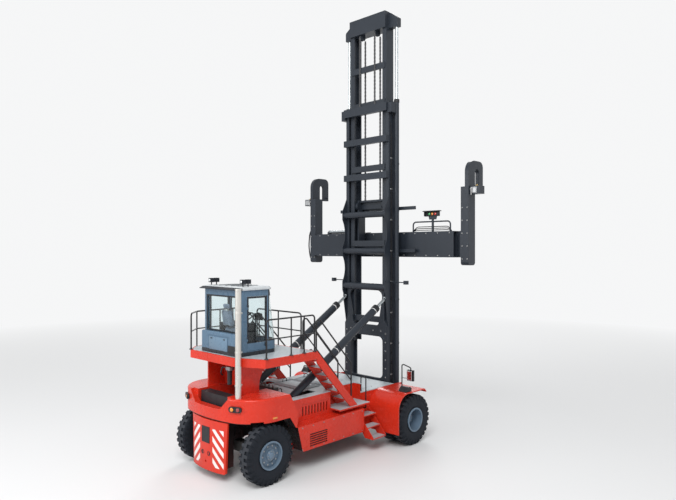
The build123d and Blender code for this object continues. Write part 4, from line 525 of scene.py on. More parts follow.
for number, (x, y) in enumerate(((-0.75, 0.45), (-0.75, -0.45), (0.05, 0.45), (0.05, -0.45))):
    loop = [(x - 0.07, y, DECK_TOP + 0.02), (x - 0.07, y, DECK_TOP + 0.12), (x + 0.07, y, DECK_TOP + 0.12),
            (x + 0.07, y, DECK_TOP + 0.02)]
    pipe(f"hatch_loop_{number + 1}", bent(loop, 0.05), 0.009, black_plastic, "chassis")
studs("deck_bolts", places, UP, "chassis", 0.012)

# Valve block: the hydraulics' control valves on the deck before the tower, a cast block with steel fittings.
# Short bent pipes run from the fittings to the deck, and a filter hangs from its head beside the tower.
VALVES = 5
VALVE_FIRST = -0.34
VALVE_PITCH = 0.17
FITTING_Z = 0.10
VALVE_STEEL = (0.25, 0.26, 0.27, 1.0)
valve_steel = weathered_paint("valve_steel", VALVE_STEEL, DECK_GRIME, 0.3, 0.35, metallic=0.7)
block = slab((-1.90, -0.42, DECK_TOP), (-1.72, 0.42, DECK_TOP + 0.17), 0.012)
settle(block, "valve_block", engine_iron, "chassis")
fitting = turned([(0.0, 0.030), (0.012, 0.030), (0.014, 0.022), (0.045, 0.020), (0.047, 0.014),
                  (0.075, 0.013)], ORIGIN, FORWARD, 6)
rows = [(-1.722, VALVE_FIRST + VALVE_PITCH * i, DECK_TOP + FITTING_Z) for i in range(VALVES)]
settle(spread(fitting, rows), "valve_fittings", valve_steel, "chassis")
for number in range(VALVES):
    y = VALVE_FIRST + VALVE_PITCH * number
    run = [(-1.655, y, DECK_TOP + FITTING_Z), (-1.56 + 0.02 * number, y, DECK_TOP + FITTING_Z),
           (-1.54 + 0.02 * number, y + 0.01, DECK_TOP - 0.005)]
    pipe(f"valve_pipe_{number + 1}", bent(run, 0.05), 0.013, black_plastic, "chassis")
caps = turned([(0.0, 0.024), (0.030, 0.024), (0.034, 0.018), (0.07, 0.016), (0.074, 0.010)], ORIGIN, UP, 10)
rows = [(-1.81, -0.30 + 0.15 * i, DECK_TOP + 0.168) for i in range(VALVES)]
settle(spread(caps, rows), "valve_caps", valve_steel, "chassis")
can = turned([(0.0, 0.030), (0.010, 0.058), (0.30, 0.060), (0.31, 0.066), (0.34, 0.066), (0.35, 0.050),
              (0.40, 0.046), (0.41, 0.030)], (-3.185, -0.34, 2.20), UP, 24)
moulding(can, "return_filter", "chassis")
head = slab((-3.25, -0.42, 2.54), (-3.10, -0.26, 2.63), 0.012)
settle(head, "filter_head", valve_steel, "chassis")
run = [(-3.185, -0.30, 2.59), (-3.185, -0.05, 2.59), (-3.185, 0.02, 2.42), (-3.10, 0.06, 2.36)]
pipe("filter_pipe", bent(run, 0.06), 0.020, black_plastic, "chassis")

# Tail: a welded red body with the cooler in a black well, over a cast counterweight bolted on from the rear.
# The casting carries red and white warning bands beside a blank plate, slanting down to the outside.
BAND_WHITE = (0.80, 0.79, 0.77, 1.0)
BAND_INNER = 0.255
BAND_OUTER = 0.60
BAND_LOW = 0.33
BAND_HIGH = 1.22
BAND_STEP = 0.25
AMBER = (0.85, 0.27, 0.015, 1.0)
RED_LENS = (0.30, 0.012, 0.012, 1.0)
CLEAR_LENS = (0.72, 0.75, 0.77, 1.0)
TAIL_LAMP_PLACE = Vector((-3.505, 0.9805, 1.78))
TAIL_LAMP_OUT = Vector((-0.916, 0.402, 0.0))
TAIL_LAMP_RUN = Vector((0.402, 0.916, 0.0))
TAIL_LAMP_HALF = 0.0225
LENS_STEP = 0.078
TAIL_LENS = 0.046
HEAD_LENS = 0.040
MARKER_Y = 1.484
counterweight_red = weathered_paint("counterweight_red", RED_PAINT, RED_GRIME, 0.3, 0.34, peel=0.35)
tree = counterweight_red.node_tree
coat = find_node(tree, "ShaderNodeGroup")
axes = tree.nodes.new("ShaderNodeSeparateXYZ")
tree.links.new(object_place(tree), axes.inputs[0])
outward = combine(tree, "ABSOLUTE", axes.outputs["Y"])
slant = combine(tree, "ADD", outward, axes.outputs["Z"])
band = combine(tree, "LESS_THAN", combine(tree, "PINGPONG", slant, BAND_STEP / 2), BAND_STEP / 4)
rear_face = [("Z", BAND_LOW, BAND_HIGH), ("NX", -2.0, -0.7)]
striped = combine(tree, "MULTIPLY", band, zone_share(tree, [[("Y", BAND_INNER, BAND_OUTER), *rear_face],
                                                            [("Y", -BAND_OUTER, -BAND_INNER), *rear_face]]))
# The casting's front part under the tail and its forward faces are near-black: painted shade.
shaded_core = zone_share(tree, [[("X", -3.45, FAR)], [("X", -3.49, FAR), ("NX", 0.5, 2.0)]])
base = mix_colour(tree, shaded_core, RED_PAINT, PAINTED_SHADE)
tree.links.new(mix_colour(tree, striped, base, BAND_WHITE), coat.inputs["Paint"])
dress(counterweight_red, "counterweight")
# The tail's down-facing faces and its inner walls below the top of the wells are near-black: painted shade.
tail_paint = zoned_paint("tail_paint", RED_PAINT, PAINTED_SHADE,
                         [[("NZ", -2.0, -0.3)], [("Y", -1.42, 1.42), ("Z", 0.0, WELL_TOP), ("NX", -2.0, 0.7)]],
                         RED_GRIME, RED_SOIL, RED_GLOSS)
dress(tail_paint, "tail_body")
dress(black_plastic, "cooler", "tail_lamps", "head_lamps", "mirrors")


def lens(name, colour):
    """Moulded lamp glass with fine prisms under a clear skin, deeper in colour towards its edge."""
    finish, tree, shader = new_material(name, Roughness=0.14, Coat_Weight=1.0, Coat_Roughness=0.04)
    rim = tree.nodes.new("ShaderNodeLayerWeight")
    deep = tuple(0.45 * channel for channel in colour[:3]) + (1.0,)
    tree.links.new(mix_colour(tree, rim.outputs["Facing"], colour, deep), shader.inputs["Base Color"])
    prisms = add_node(tree, "ShaderNodeTexVoronoi", Scale=140.0)
    tree.links.new(object_place(tree), prisms.inputs["Vector"])
    bump = add_node(tree, "ShaderNodeBump", Strength=0.35, Distance=0.002)
    tree.links.new(prisms.outputs["Distance"], bump.inputs["Height"])
    tree.links.new(bump.outputs["Normal"], shader.inputs["Normal"])
    return finish


def round_lens(name, place, axis, radius, finish, body):
    """A domed lens in a short rubber ring."""
    ring = turned([(-0.004, 1.18 * radius), (0.008, 1.18 * radius), (0.010, 1.08 * radius), (0.006, radius)],
                  place, axis, 20)
    moulding(ring, f"{name}_ring", body)
    glass = turned([(-0.002, radius), (0.008, 0.99 * radius), (0.013, 0.86 * radius), (0.016, 0.5 * radius),
                    (0.017, 0.2 * radius)], place, axis, 20)
    return settle(glass, name, finish, body, 60)


amber_lens = lens("amber_lens", AMBER)
red_lens = lens("red_lens", RED_LENS)
clear_lens = lens("clear_lens", CLEAR_LENS)
for side, sign in SIDES.items():
    mirror = Vector((1.0, sign, 1.0))
    face = (TAIL_LAMP_PLACE + TAIL_LAMP_HALF * TAIL_LAMP_OUT) * mirror
    out = TAIL_LAMP_OUT * mirror
    run = LENS_STEP * TAIL_LAMP_RUN * mirror
    round_lens(f"turn_lamp_{side}", face - run, out, TAIL_LENS, amber_lens, "chassis")
    round_lens(f"stop_lamp_{side}", face + run, out, TAIL_LENS, red_lens, "chassis")
    marker = slab((-2.81, sign * MARKER_Y - 0.010, 1.515), (-2.68, sign * MARKER_Y + 0.010, 1.56), 0.008)
    settle(marker, f"side_marker_{side}", amber_lens, "chassis")
    for step in (-0.06, 0.06):
        lamp = f"head_lens_{side}_{'inner' if step < 0 else 'outer'}"
        round_lens(lamp, (1.648, sign * (1.965 + step), 1.553), FORWARD, HEAD_LENS, clear_lens, "chassis")
sign_plate = slab((-3.636, -0.155, 0.86), (-3.610, 0.155, 1.24), 0.006)
pick(sign_plate, lambda middle, normal: normal.x < -0.9)
bpy.ops.mesh.inset(thickness=0.014, depth=-0.003)
moulding(sign_plate, "blank_plate", "chassis")
core_holes = [turned([(-0.004, 0.052), (0.010, 0.052), (0.011, 0.040), (0.002, 0.036)], (-3.622, y, 0.62),
                     REARWARD, 20) for y in (-0.12, 0.12)]
moulding(join(core_holes), "lifting_sockets", "chassis")

# Cab tower, platform and stairs: red plate with grey chequered decks and treads, and black tube rails.
# The rails stand on small flanges bolted through the deck, and every tread has a bright worn nosing.
RAIL_BLACK = (0.014, 0.014, 0.016, 1.0)
NOSING_STEEL = (0.62, 0.62, 0.61, 1.0)
PLATFORM_Z = 2.90
POSTS = {"left": ((-3.342, 1.06), (-2.2025, 1.43), (-1.7825, 1.43), (-1.433, 1.43)),
         "right": ((-2.963, -1.43), (-2.2025, -1.43), (-1.7825, -1.43), (-1.433, -1.43))}
CLIMB = ((-0.073, 1.529), (-0.286, 1.757), (-0.499, 1.986), (-0.712, 2.214), (-0.925, 2.443), (-1.138, 2.671))
HUNG = ((1.78, 0.40), (1.60, 0.66), (1.45, 0.94))
rail_black = weathered_paint("rail_black", RAIL_BLACK, PLASTIC_DUST, 0.12, 0.28, edge=0.003, glare=0.3)
dress(red_paint, "cab_tower", "platform_frame", "stair_stringers", "front_fenders")
dress(rail_black, "guard_rails")
chequered = weathered_paint("chequered_grey", DECK_GREY, DECK_GRIME, 0.3, 0.45)
tree = chequered.node_tree
turn = add_node(tree, "ShaderNodeMapping", Rotation=(0.0, 0.0, pi / 4))
tree.links.new(object_place(tree), turn.inputs["Vector"])
raised = add_node(tree, "ShaderNodeTexBrick", Scale=9.0, Mortar_Size=0.035, Mortar_Smooth=0.4,
                  Color1=(1.0, 1.0, 1.0, 1.0), Color2=(0.8, 0.8, 0.8, 1.0), Mortar=(0.0, 0.0, 0.0, 1.0))
tree.links.new(turn.outputs["Vector"], raised.inputs["Vector"])
bump = find_node(tree, "ShaderNodeBump")
bump.inputs["Strength"].default_value = 0.5
bump.inputs["Distance"].default_value = 0.004
tree.links.new(raised.outputs["Color"], bump.inputs["Height"])
coat = find_node(tree, "ShaderNodeGroup")
upward = zone_share(tree, [[("NZ", 0.5, 2.0)]])
tree.links.new(mix_colour(tree, upward, RED_PAINT, DECK_GREY), coat.inputs["Paint"])
dress(chequered, "platform_deck", "stair_treads")
nosing_steel = weathered_paint("nosing_steel", NOSING_STEEL, DECK_GRIME, 0.3, 0.30, metallic=0.8)
for side, sign in SIDES.items():
    strip = slab((-0.020, -0.215, 0.0), (0.003, 0.215, 0.006), 0.002)
    places = [(x, sign * 1.19, z + 0.003) for x, z in CLIMB]
    settle(spread(strip, places), f"stair_nosings_{side}", nosing_steel, "chassis")
    strip = slab((-0.245, -0.016, 0.0), (0.245, 0.003, 0.006), 0.002)
    places = [(0.6475, sign * y if sign > 0 else -y + 0.013, z + 0.003) for y, z in HUNG]
    settle(spread(strip, places), f"step_nosings_{side}", nosing_steel, "chassis")
    foot = turned([(0.0, 0.052), (0.010, 0.052), (0.013, 0.048), (0.014, 0.026), (0.045, 0.023)],
                  ORIGIN, UP, 16)
    settle(spread(foot, [(x, y, PLATFORM_Z) for x, y in POSTS[side]]), f"rail_feet_{side}", rail_black,
           "chassis")
    bolts = [(x + 0.038 * cos(radians(a)), y + 0.038 * sin(radians(a)), PLATFORM_Z + 0.012)
             for x, y in POSTS[side] for a in (45, 135, 225, 315)]
    studs(f"rail_bolts_{side}", bolts, UP, "chassis", 0.006)

# Exhaust stack: a polished stainless pipe beside the tower, held by three clamps and stained in streaks.
# Each clamp is a rolled band with a folded ear, and a rolled collar closes the pipe's mouth.
STACK_STEEL = (0.66, 0.64, 0.60, 1.0)
STACK_STAIN = (0.34, 0.27, 0.19, 1.0)
STACK = Vector((-3.3705, -0.918, 0.0))
STACK_RADIUS = 0.070
STACK_TOP = Vector((0.0, 0.0, 4.50))
CLAMPS = (2.30, 3.05, 3.95)
stack_steel = weathered_paint("stack_steel", STACK_STEEL, STACK_STAIN, 0.35, 0.30, edge=0.004, metallic=0.85)
dress(stack_steel, "exhaust_stack")
bands = []
for z in CLAMPS:
    profile = [(-0.025, STACK_RADIUS - 0.004), (-0.025, STACK_RADIUS + 0.005), (-0.012, STACK_RADIUS + 0.007),
               (0.012, STACK_RADIUS + 0.007), (0.025, STACK_RADIUS + 0.005), (0.025, STACK_RADIUS - 0.004)]
    bands.append(turned(profile, STACK + Vector((0.0, 0.0, z)), UP, 28))
    ear = [STACK + Vector(corner) for corner in ((0.066, -0.010, z - 0.020), (0.112, 0.010, z + 0.020))]
    bands.append(slab(*ear, 0.005))
settle(join(bands), "stack_clamps", stack_steel, "chassis")
mouth = turned([(0.0, 0.060), (0.004, 0.076), (-0.030, 0.076), (-0.034, 0.071)], STACK + STACK_TOP, UP, 28)
settle(mouth, "stack_collar", stack_steel, "chassis")

# Mirrors: glass in black plastic shells, one on each fender's post.
# The glass faces the rear, towards the driver, and sits in a raised lip.
MIRROR_SILVER = (0.80, 0.82, 0.84, 1.0)
MIRROR_TARNISH = (0.42, 0.44, 0.46, 1.0)
MIRROR_Y = 2.06
mirror_glass = weathered_paint("mirror_glass", MIRROR_SILVER, MIRROR_TARNISH, 0.15, 0.06, metallic=1.0,
                               peel=0.01)
for side, sign in SIDES.items():
    glass = slab((1.586, sign * MIRROR_Y - 0.082, 1.800), (1.596, sign * MIRROR_Y + 0.082, 2.060), 0.004)
    pick(glass, lambda middle, normal: normal.x < -0.9)
    bpy.ops.mesh.inset(thickness=0.012, depth=-0.003)
    settle(glass, f"mirror_glass_{side}", mirror_glass, "chassis")

# Cab: a blue-grey steel shell on a black skirt, with slim dark door frames and tinted safety glass all round.
# The roof is a pale pressed cap with a black brim over the rear window, which sits in a rubber seal.
CAB_BLUE = (0.095, 0.165, 0.245, 1.0)
HATCH_BLUE = (0.135, 0.215, 0.30, 1.0)
CAB_GRIME = (0.08, 0.09, 0.10, 1.0)
CAB_DARK = (0.022, 0.025, 0.032, 1.0)
CAB_SOIL = 0.2
CAB_GLOSS = 0.26
HANDLE_Y = 0.786
ROOF_PALE = (0.55, 0.58, 0.60, 1.0)
GLASS_TINT = (0.86, 0.93, 0.94, 1.0)
SKIRT_TOP = 2.995
SILL_TOP = 3.195
PILLAR_X = -2.36
CAB_REAR_X = -3.1525
cab_paint = zoned_paint("cab_paint", CAB_BLUE, CAB_DARK,
                        [[("Z", 0.0, SKIRT_TOP)], [("X", PILLAR_X, FAR), ("Z", SILL_TOP, FAR)]],
                        CAB_GRIME, CAB_SOIL, CAB_GLOSS)
door_paint = zoned_paint("door_paint", CAB_BLUE, CAB_DARK, [[("Z", SILL_TOP, FAR)]], CAB_GRIME, CAB_SOIL,
                         CAB_GLOSS)
roof_paint = zoned_paint("roof_paint", ROOF_PALE, CAB_DARK,
                         [[("X", -FAR, -3.165)], [("Z", 4.53, FAR)]], CAB_GRIME, CAB_SOIL, 0.45, glare=0.15)
hatch_paint = weathered_paint("hatch_paint", HATCH_BLUE, CAB_GRIME, CAB_SOIL, 0.28, edge=0.004)
dress(cab_paint, "cab_shell")
dress(door_paint, "cab_door_left", "cab_door_right")
dress(roof_paint, "cab_roof")
dress(black_plastic, "cab_console")
cab_glass, tree, shader = new_material("cab_glass", Base_Color=GLASS_TINT, Roughness=0.02, IOR=1.2,
                                       Transmission_Weight=1.0, Coat_Weight=0.3)
smear = object_place(tree)
tree.links.new(map_range(tree, noise(tree, smear, 3.0), 0.35, 0.75, 0.01, 0.06), shader.inputs["Roughness"])
dress(cab_glass, "cab_glass", "door_glass_left", "door_glass_right")


def surround(low, high, thin, width):
    """A rubber frame round an opening: a block with a hole drawn through along its thin axis."""
    made = slab(low, high, 0.004)
    pick(made, lambda middle, normal: abs(normal[thin]) > 0.98)
    bpy.ops.mesh.inset(thickness=width, depth=0.0, use_individual=True)
    bpy.ops.mesh.delete(type="FACE")
    bridge_open_edges()
    bpy.ops.object.mode_set(mode="OBJECT")
    return made


seal = surround((CAB_REAR_X - 0.008, -0.655, 3.425), (CAB_REAR_X + 0.004, 0.655, 4.305), 0, 0.032)
moulding(seal, "rear_window_seal", "chassis")
hatch = slab((CAB_REAR_X - 0.108, -0.33, 2.985), (CAB_REAR_X - 0.088, 0.415, 3.30), 0.006)
settle(hatch, "cab_service_hatch", hatch_paint, "chassis")
latches = [slab((CAB_REAR_X - 0.116, y - 0.035, 3.245), (CAB_REAR_X - 0.104, y + 0.035, 3.270), 0.004)
           for y in (-0.22, 0.30)]
moulding(join(latches), "hatch_latches", "chassis")
corner = slab((CAB_REAR_X - 0.108, -0.735, 2.96), (CAB_REAR_X - 0.09, -0.36, 3.14), 0.006)
moulding(corner, "cab_corner_pad", "chassis")
for side, sign in SIDES.items():
    handle = slab((-2.475, sign * HANDLE_Y - 0.016, 3.085), (-2.425, sign * HANDLE_Y + 0.016, 3.180), 0.008)
    pick(handle, lambda middle, normal: abs(normal.y) > 0.9)
    bpy.ops.mesh.inset(thickness=0.010, depth=-0.005, use_individual=True)
    moulding(handle, f"door_handle_{side}", f"door_{side}")
    for place, facing_x in ((-3.0225, -1), (-2.8725, 1)):
        end = "rear" if facing_x < 0 else "front"
        round_lens(f"roof_lamp_{side}_{end}", (place + 0.0525 * facing_x, sign * 0.64, 4.6465),
                   (facing_x, 0.0, 0.0), 0.038, clear_lens, "chassis")
ribs = [slab((-2.98, y - 0.030, 4.520), (-2.36, y + 0.030, 4.538), 0.008) for y in (-0.36, -0.12, 0.12, 0.36)]
settle(join(ribs), "roof_ribs", roof_paint, "chassis")

# Controls in the cab: a screen on a stalk, a joystick on the right armrest and two pedals before the column.
# All are moulded in black plastic, and the screen is a sunk panel in its frame.
screen = slab((-2.36, -0.50, 3.66), (-2.335, -0.27, 3.84), 0.008, (0.0, radians(-14), radians(18)))
pick(screen, lambda middle, normal: normal.x < -0.9)
bpy.ops.mesh.inset(thickness=0.014, depth=-0.003)
moulding(screen, "display", "chassis")
stalk = turned([(0.0, 0.030), (0.02, 0.030), (0.03, 0.016), (0.36, 0.014), (0.37, 0.022), (0.39, 0.020)],
               (-2.33, -0.385, 3.30), UP, 12)
moulding(stalk, "display_stalk", "chassis")
stick = turned([(0.0, 0.045), (0.012, 0.045), (0.03, 0.030), (0.05, 0.016), (0.11, 0.014), (0.13, 0.026),
                (0.19, 0.028), (0.215, 0.020)], (-2.50, -0.34, 3.61), (0.15, 0.0, 1.0), 14)
moulding(stick, "joystick", "chassis")
pedals = [slab((-2.30, y - 0.04, 2.985), (-2.275, y + 0.04, 3.16), 0.006, (0.0, radians(-30), 0.0))
          for y in (-0.27, -0.40)]
moulding(join(pedals), "pedals", "chassis")

# Seat: a sprung driver's seat in blue-grey cloth, its cushion and back each a foam pad in a sewn cover.
# Foam swells the cover between its seams; a narrow headrest stands on the back, on two steel stems.
SEAT_BLUE = (0.20, 0.25, 0.33, 1.0)
SEAT_DARK = (0.10, 0.125, 0.17, 1.0)
PAD_VOXEL = 0.006
PAD_ROUND = 0.035
PAD_PRESSURE = 4.0
PAD_FRAMES = 20
PAD_SWELL = 0.024
SEAT_LEAN = (0.0, radians(-9), 0.0)
seat_cloth, tree, shader = new_material("seat_cloth", Roughness=0.9, Sheen_Weight=0.35)
place = object_place(tree)
tone = map_range(tree, noise(tree, place, 9.0, 5.0), 0.3, 0.7, 0.0, 1.0)
tree.links.new(mix_colour(tree, tone, SEAT_BLUE, SEAT_DARK), shader.inputs["Base Color"])
weave = add_node(tree, "ShaderNodeTexWave", Scale=95.0, Distortion=1.5)
weave.bands_direction = "DIAGONAL"
tree.links.new(place, weave.inputs["Vector"])
bump = add_node(tree, "ShaderNodeBump", Strength=0.4, Distance=0.002)
tree.links.new(weave.outputs["Fac"], bump.inputs["Height"])
tree.links.new(bump.outputs["Normal"], shader.inputs["Normal"])


def pad(name, low, high, turn=(0.0, 0.0, 0.0)):
    """A foam pad: a rounded block, its cover blown out as cloth and held to a small swell."""
    made = slab(low, high, PAD_ROUND, turn)
    bpy.ops.object.transform_apply(location=True, rotation=True, scale=True)
    skin = made.modifiers.new("skin", "REMESH")
    skin.mode = "VOXEL"
    skin.voxel_size = PAD_VOXEL
    bpy.ops.object.modifier_apply(modifier="skin")
    rest = [point.co.copy() for point in made.data.vertices]
    cover = made.modifiers.new("cover", "CLOTH")
    cover.settings.use_pressure = True
    cover.settings.uniform_pressure_force = PAD_PRESSURE
    cover.settings.effector_weights.gravity = 0.0
    for frame_number in range(1, PAD_FRAMES + 1):
        scene.frame_set(frame_number)
    bpy.context.view_layer.objects.active = made
    bpy.ops.object.modifier_apply(modifier="cover")
    scene.frame_set(1)
    for point, start in zip(made.data.vertices, rest):
        moved = point.co - start
        if moved.length > PAD_SWELL:
            point.co = start + moved * (PAD_SWELL / moved.length)
    finer = made.modifiers.new("finer", "SUBSURF")
    finer.levels = 1
    finer.render_levels = 1
    bpy.ops.object.modifier_apply(modifier="finer")
    settle(made, name, seat_cloth, "chassis", 60)
    return made


cushion = pad("seat_cushion", (-2.94, -0.215, 3.395), (-2.515, 0.215, 3.485))
pad("seat_back", (-3.022, -0.205, 3.53), (-2.935, 0.205, 3.94), SEAT_LEAN)
pad("seat_headrest", (-3.055, -0.12, 3.975), (-2.985, 0.12, 4.09), SEAT_LEAN)
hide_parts("cab_seat")
stems = [turned([(0.0, 0.007), (0.10, 0.007), (0.12, 0.006)], (-3.01, y, 3.89), (-0.10, 0.0, 1.0), 10)
         for y in (-0.06, 0.06)]
settle(join(stems), "headrest_stems", stud_steel, "chassis")
pan = slab((-2.95, -0.19, 3.365), (-2.53, 0.19, 3.392), 0.010)
moulding(pan, "seat_pan", "chassis")

# Wheels: lugged industrial tyres on blue-grey steel rims, twins in front and singles at the rear.
# Each tyre is moulded with staggered lugs over its shoulders; each rim has a lock ring, nuts and a hub cap.
TYRE_RADIUS = 0.690
LUG_HEIGHT = 0.030
LUG_PITCHES = 56
TREAD_HALF = 0.130
CENTRE_RIB = 0.036
AXLE_Z = 0.690
FRONT_AXLE_X = 1.7975
REAR_AXLE_X = -2.8425
TWINS_Y = (1.49, 1.95)
SINGLE_Y = 1.29
TYRE_RINGS = ((0.050, 0.034), (0.060, 0.012), (0.070, 0.004), (0.085, -0.010), (0.055, -0.026),
              (0.030, -0.010))
SIDE_LUG = 0.013
RUBBER_BLACK = (0.011, 0.014, 0.020, 1.0)
RUBBER_DUST = (0.030, 0.033, 0.040, 1.0)
# Greyer rubber for the lug tops: partly worn, dusty tread, partly a painted highlight on the lugs.
RUBBER_WEAR_AND_HIGHLIGHT = (0.034, 0.038, 0.046, 1.0)
RIM_BLUE = (0.135, 0.20, 0.275, 1.0)
RIM_SHADE = (0.085, 0.135, 0.195, 1.0)
NUTS = 10
NUT_CIRCLE = 0.215
CAP_BOLTS = 8
CAP_CIRCLE = 0.096
# The nut ring's darker blue is painted shade of the rim's recess.
rim_recess_shade = weathered_paint("rim_recess_shade", RIM_SHADE, CAB_GRIME, 0.35, 0.34, edge=0.004)
rim_paint = weathered_paint("rim_paint", RIM_BLUE, CAB_GRIME, 0.35, 0.34, edge=0.006)
tyre_rubber = weathered_paint("tyre_rubber", RUBBER_BLACK, RUBBER_DUST, 0.45, 0.66, edge=0.010, peel=0.5,
                              glare=0.2)
worn_and_highlit_rubber = weathered_paint("worn_and_highlit_rubber", RUBBER_WEAR_AND_HIGHLIGHT, RUBBER_DUST, 0.4, 0.75, edge=0.012, peel=0.5,
                              glare=0.25)


def make_tyre(x, y):
    """One lugged tyre standing on the ground at x, y."""
    start_clean()
    base = TYRE_RADIUS - LUG_HEIGHT
    bpy.ops.mesh.primitive_cylinder_add(vertices=LUG_PITCHES, radius=base, depth=2 * TREAD_HALF,
                                        location=(x, y, AXLE_Z), rotation=(pi / 2, 0.0, 0.0))
    tyre = bpy.context.object
    bpy.ops.object.transform_apply(location=True, rotation=True, scale=True)
    pick(tyre, lambda middle, normal: abs(normal.y) > 0.9)
    for thickness, depth in TYRE_RINGS:
        bpy.ops.mesh.inset(thickness=thickness, depth=depth, use_individual=True)
    bpy.ops.mesh.delete(type="ONLY_FACE")
    bridge_open_edges()
    bpy.ops.mesh.select_all(action="SELECT")
    for edge in (-CENTRE_RIB, CENTRE_RIB):
        bpy.ops.mesh.bisect(plane_co=(x, y + edge, AXLE_Z), plane_no=(0.0, 1.0, 0.0))
        bpy.ops.mesh.select_all(action="SELECT")
    bpy.ops.object.mode_set(mode="OBJECT")

    def lug_faces(inner, outer):
        """A test for faces of the lugs, staggered left and right, between two radii."""
        def on_lug(middle, normal):
            out = Vector((middle.x - x, middle.z - AXLE_Z))
            if not inner < out.length < outer:
                return False
            place = round((out.angle_signed(Vector((1.0, 0.0))) % (2 * pi)) / (2 * pi / LUG_PITCHES) - 0.5)
            return abs(middle.y - y) < CENTRE_RIB or (place + (middle.y > y)) % 2 == 0
        return on_lug

    pick(tyre, lug_faces(base - 0.11, base - 0.052))
    bpy.ops.mesh.extrude_region_move()
    bpy.ops.transform.shrink_fatten(value=SIDE_LUG)
    pick(tyre, lug_faces(base - 0.050, base + 0.01))
    bpy.ops.mesh.extrude_region_move()
    bpy.ops.transform.shrink_fatten(value=LUG_HEIGHT)
    bpy.ops.object.mode_set(mode="OBJECT")
    return tyre


def wear_and_highlight_lugs(tyre, x):
    """Give the lugs' tops a greyer rubber, partly a worn, dusty tread and partly a painted highlight."""
    tyre.data.materials.append(worn_and_highlit_rubber)
    for face in tyre.data.polygons:
        if Vector((face.center.x - x, face.center.z - AXLE_Z)).length > TYRE_RADIUS - 0.012:
            face.material_index = 1


def dress_rim(name, x, face, cap, sign, body):
    """Wheel nuts on their ring, a hub cap with its bolts and the lock ring of one outer rim."""
    turns = [2 * pi * i / NUTS for i in range(NUTS)]
    circle = [(x + NUT_CIRCLE * cos(turn), sign * face, AXLE_Z + NUT_CIRCLE * sin(turn)) for turn in turns]
    studs(f"{name}_nuts", circle, (0.0, sign, 0.0), body, 0.022)
    ring = hoop((x, sign * (cap - 0.006), AXLE_Z), (0.0, sign, 0.0), 0.292, 0.316, 0.034)
    settle(ring, f"{name}_lock_ring", rim_paint, body)
    disc = hoop((x, sign * (face + 0.004), AXLE_Z), (0.0, sign, 0.0), 0.165, 0.262, 0.014)
    settle(disc, f"{name}_nut_ring", rim_recess_shade, body)
    hub = turned([(-0.002, 0.118), (0.012, 0.118), (0.016, 0.110), (0.016, 0.080), (0.030, 0.074),
                  (0.034, 0.060), (0.036, 0.020)], (x, sign * cap, AXLE_Z), (0.0, sign, 0.0), 24)
    settle(hub, f"{name}_hub_cap", rim_paint, body)
    turns = [2 * pi * i / CAP_BOLTS for i in range(CAP_BOLTS)]
    circle = [(x + CAP_CIRCLE * cos(turn), sign * (cap + 0.015), AXLE_Z + CAP_CIRCLE * sin(turn))
              for turn in turns]
    studs(f"{name}_cap_bolts", circle, (0.0, sign, 0.0), body, 0.009)


dress(rim_paint, *[f"{rim}_{side}" for rim in ("front_rims", "rear_rim") for side in SIDES])
for side, sign in SIDES.items():
    twins = settle(join([make_tyre(FRONT_AXLE_X, sign * y) for y in TWINS_Y]),
                   f"twin_tyres_{side}", tyre_rubber, f"front_wheels_{side}")
    wear_and_highlight_lugs(twins, FRONT_AXLE_X)
    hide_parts(f"front_tyres_{side}")
    single = settle(make_tyre(REAR_AXLE_X, sign * SINGLE_Y), f"single_tyre_{side}", tyre_rubber,
                    f"rear_wheel_{side}")
    wear_and_highlight_lugs(single, REAR_AXLE_X)
    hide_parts(f"rear_tyre_{side}")
    dress_rim(f"front_{side}", FRONT_AXLE_X, 1.8275, 1.90, sign, f"front_wheels_{side}")
    dress_rim(f"rear_{side}", REAR_AXLE_X, 1.400, 1.44, sign, f"rear_wheel_{side}")

# Mast: rolled steel channels with welded cross members, sprayed dark slate, with bolts round the back plate.
# Two long lift cylinders stand beside the rails, with chrome rods, glands and steel pipes clipped to the mast.
MAST_SLATE = (0.022, 0.028, 0.038, 1.0)
MAST_GRIME = (0.012, 0.013, 0.016, 1.0)
ROD_CHROME = (0.50, 0.54, 0.56, 1.0)
LIFT_X = 2.4625
LIFT_Y = 0.95
PIPE_Y = 0.872
BACK_FACE = 2.1375
mast_paint = weathered_paint("mast_paint", MAST_SLATE, MAST_GRIME, 0.35, 0.34, glare=0.3)
dress(mast_paint, "outer_mast", "inner_mast", "lift_barrels", "carriage", "spreader_beam",
      "spreader_arm_left", "spreader_arm_right", "tilt_barrel_left", "tilt_barrel_right")
rod_chrome = weathered_paint("rod_chrome", ROD_CHROME, CAB_GRIME, 0.10, 0.22, metallic=1.0, peel=0.02)
dress(rod_chrome, "lift_rods", "tilt_rod_left", "tilt_rod_right")
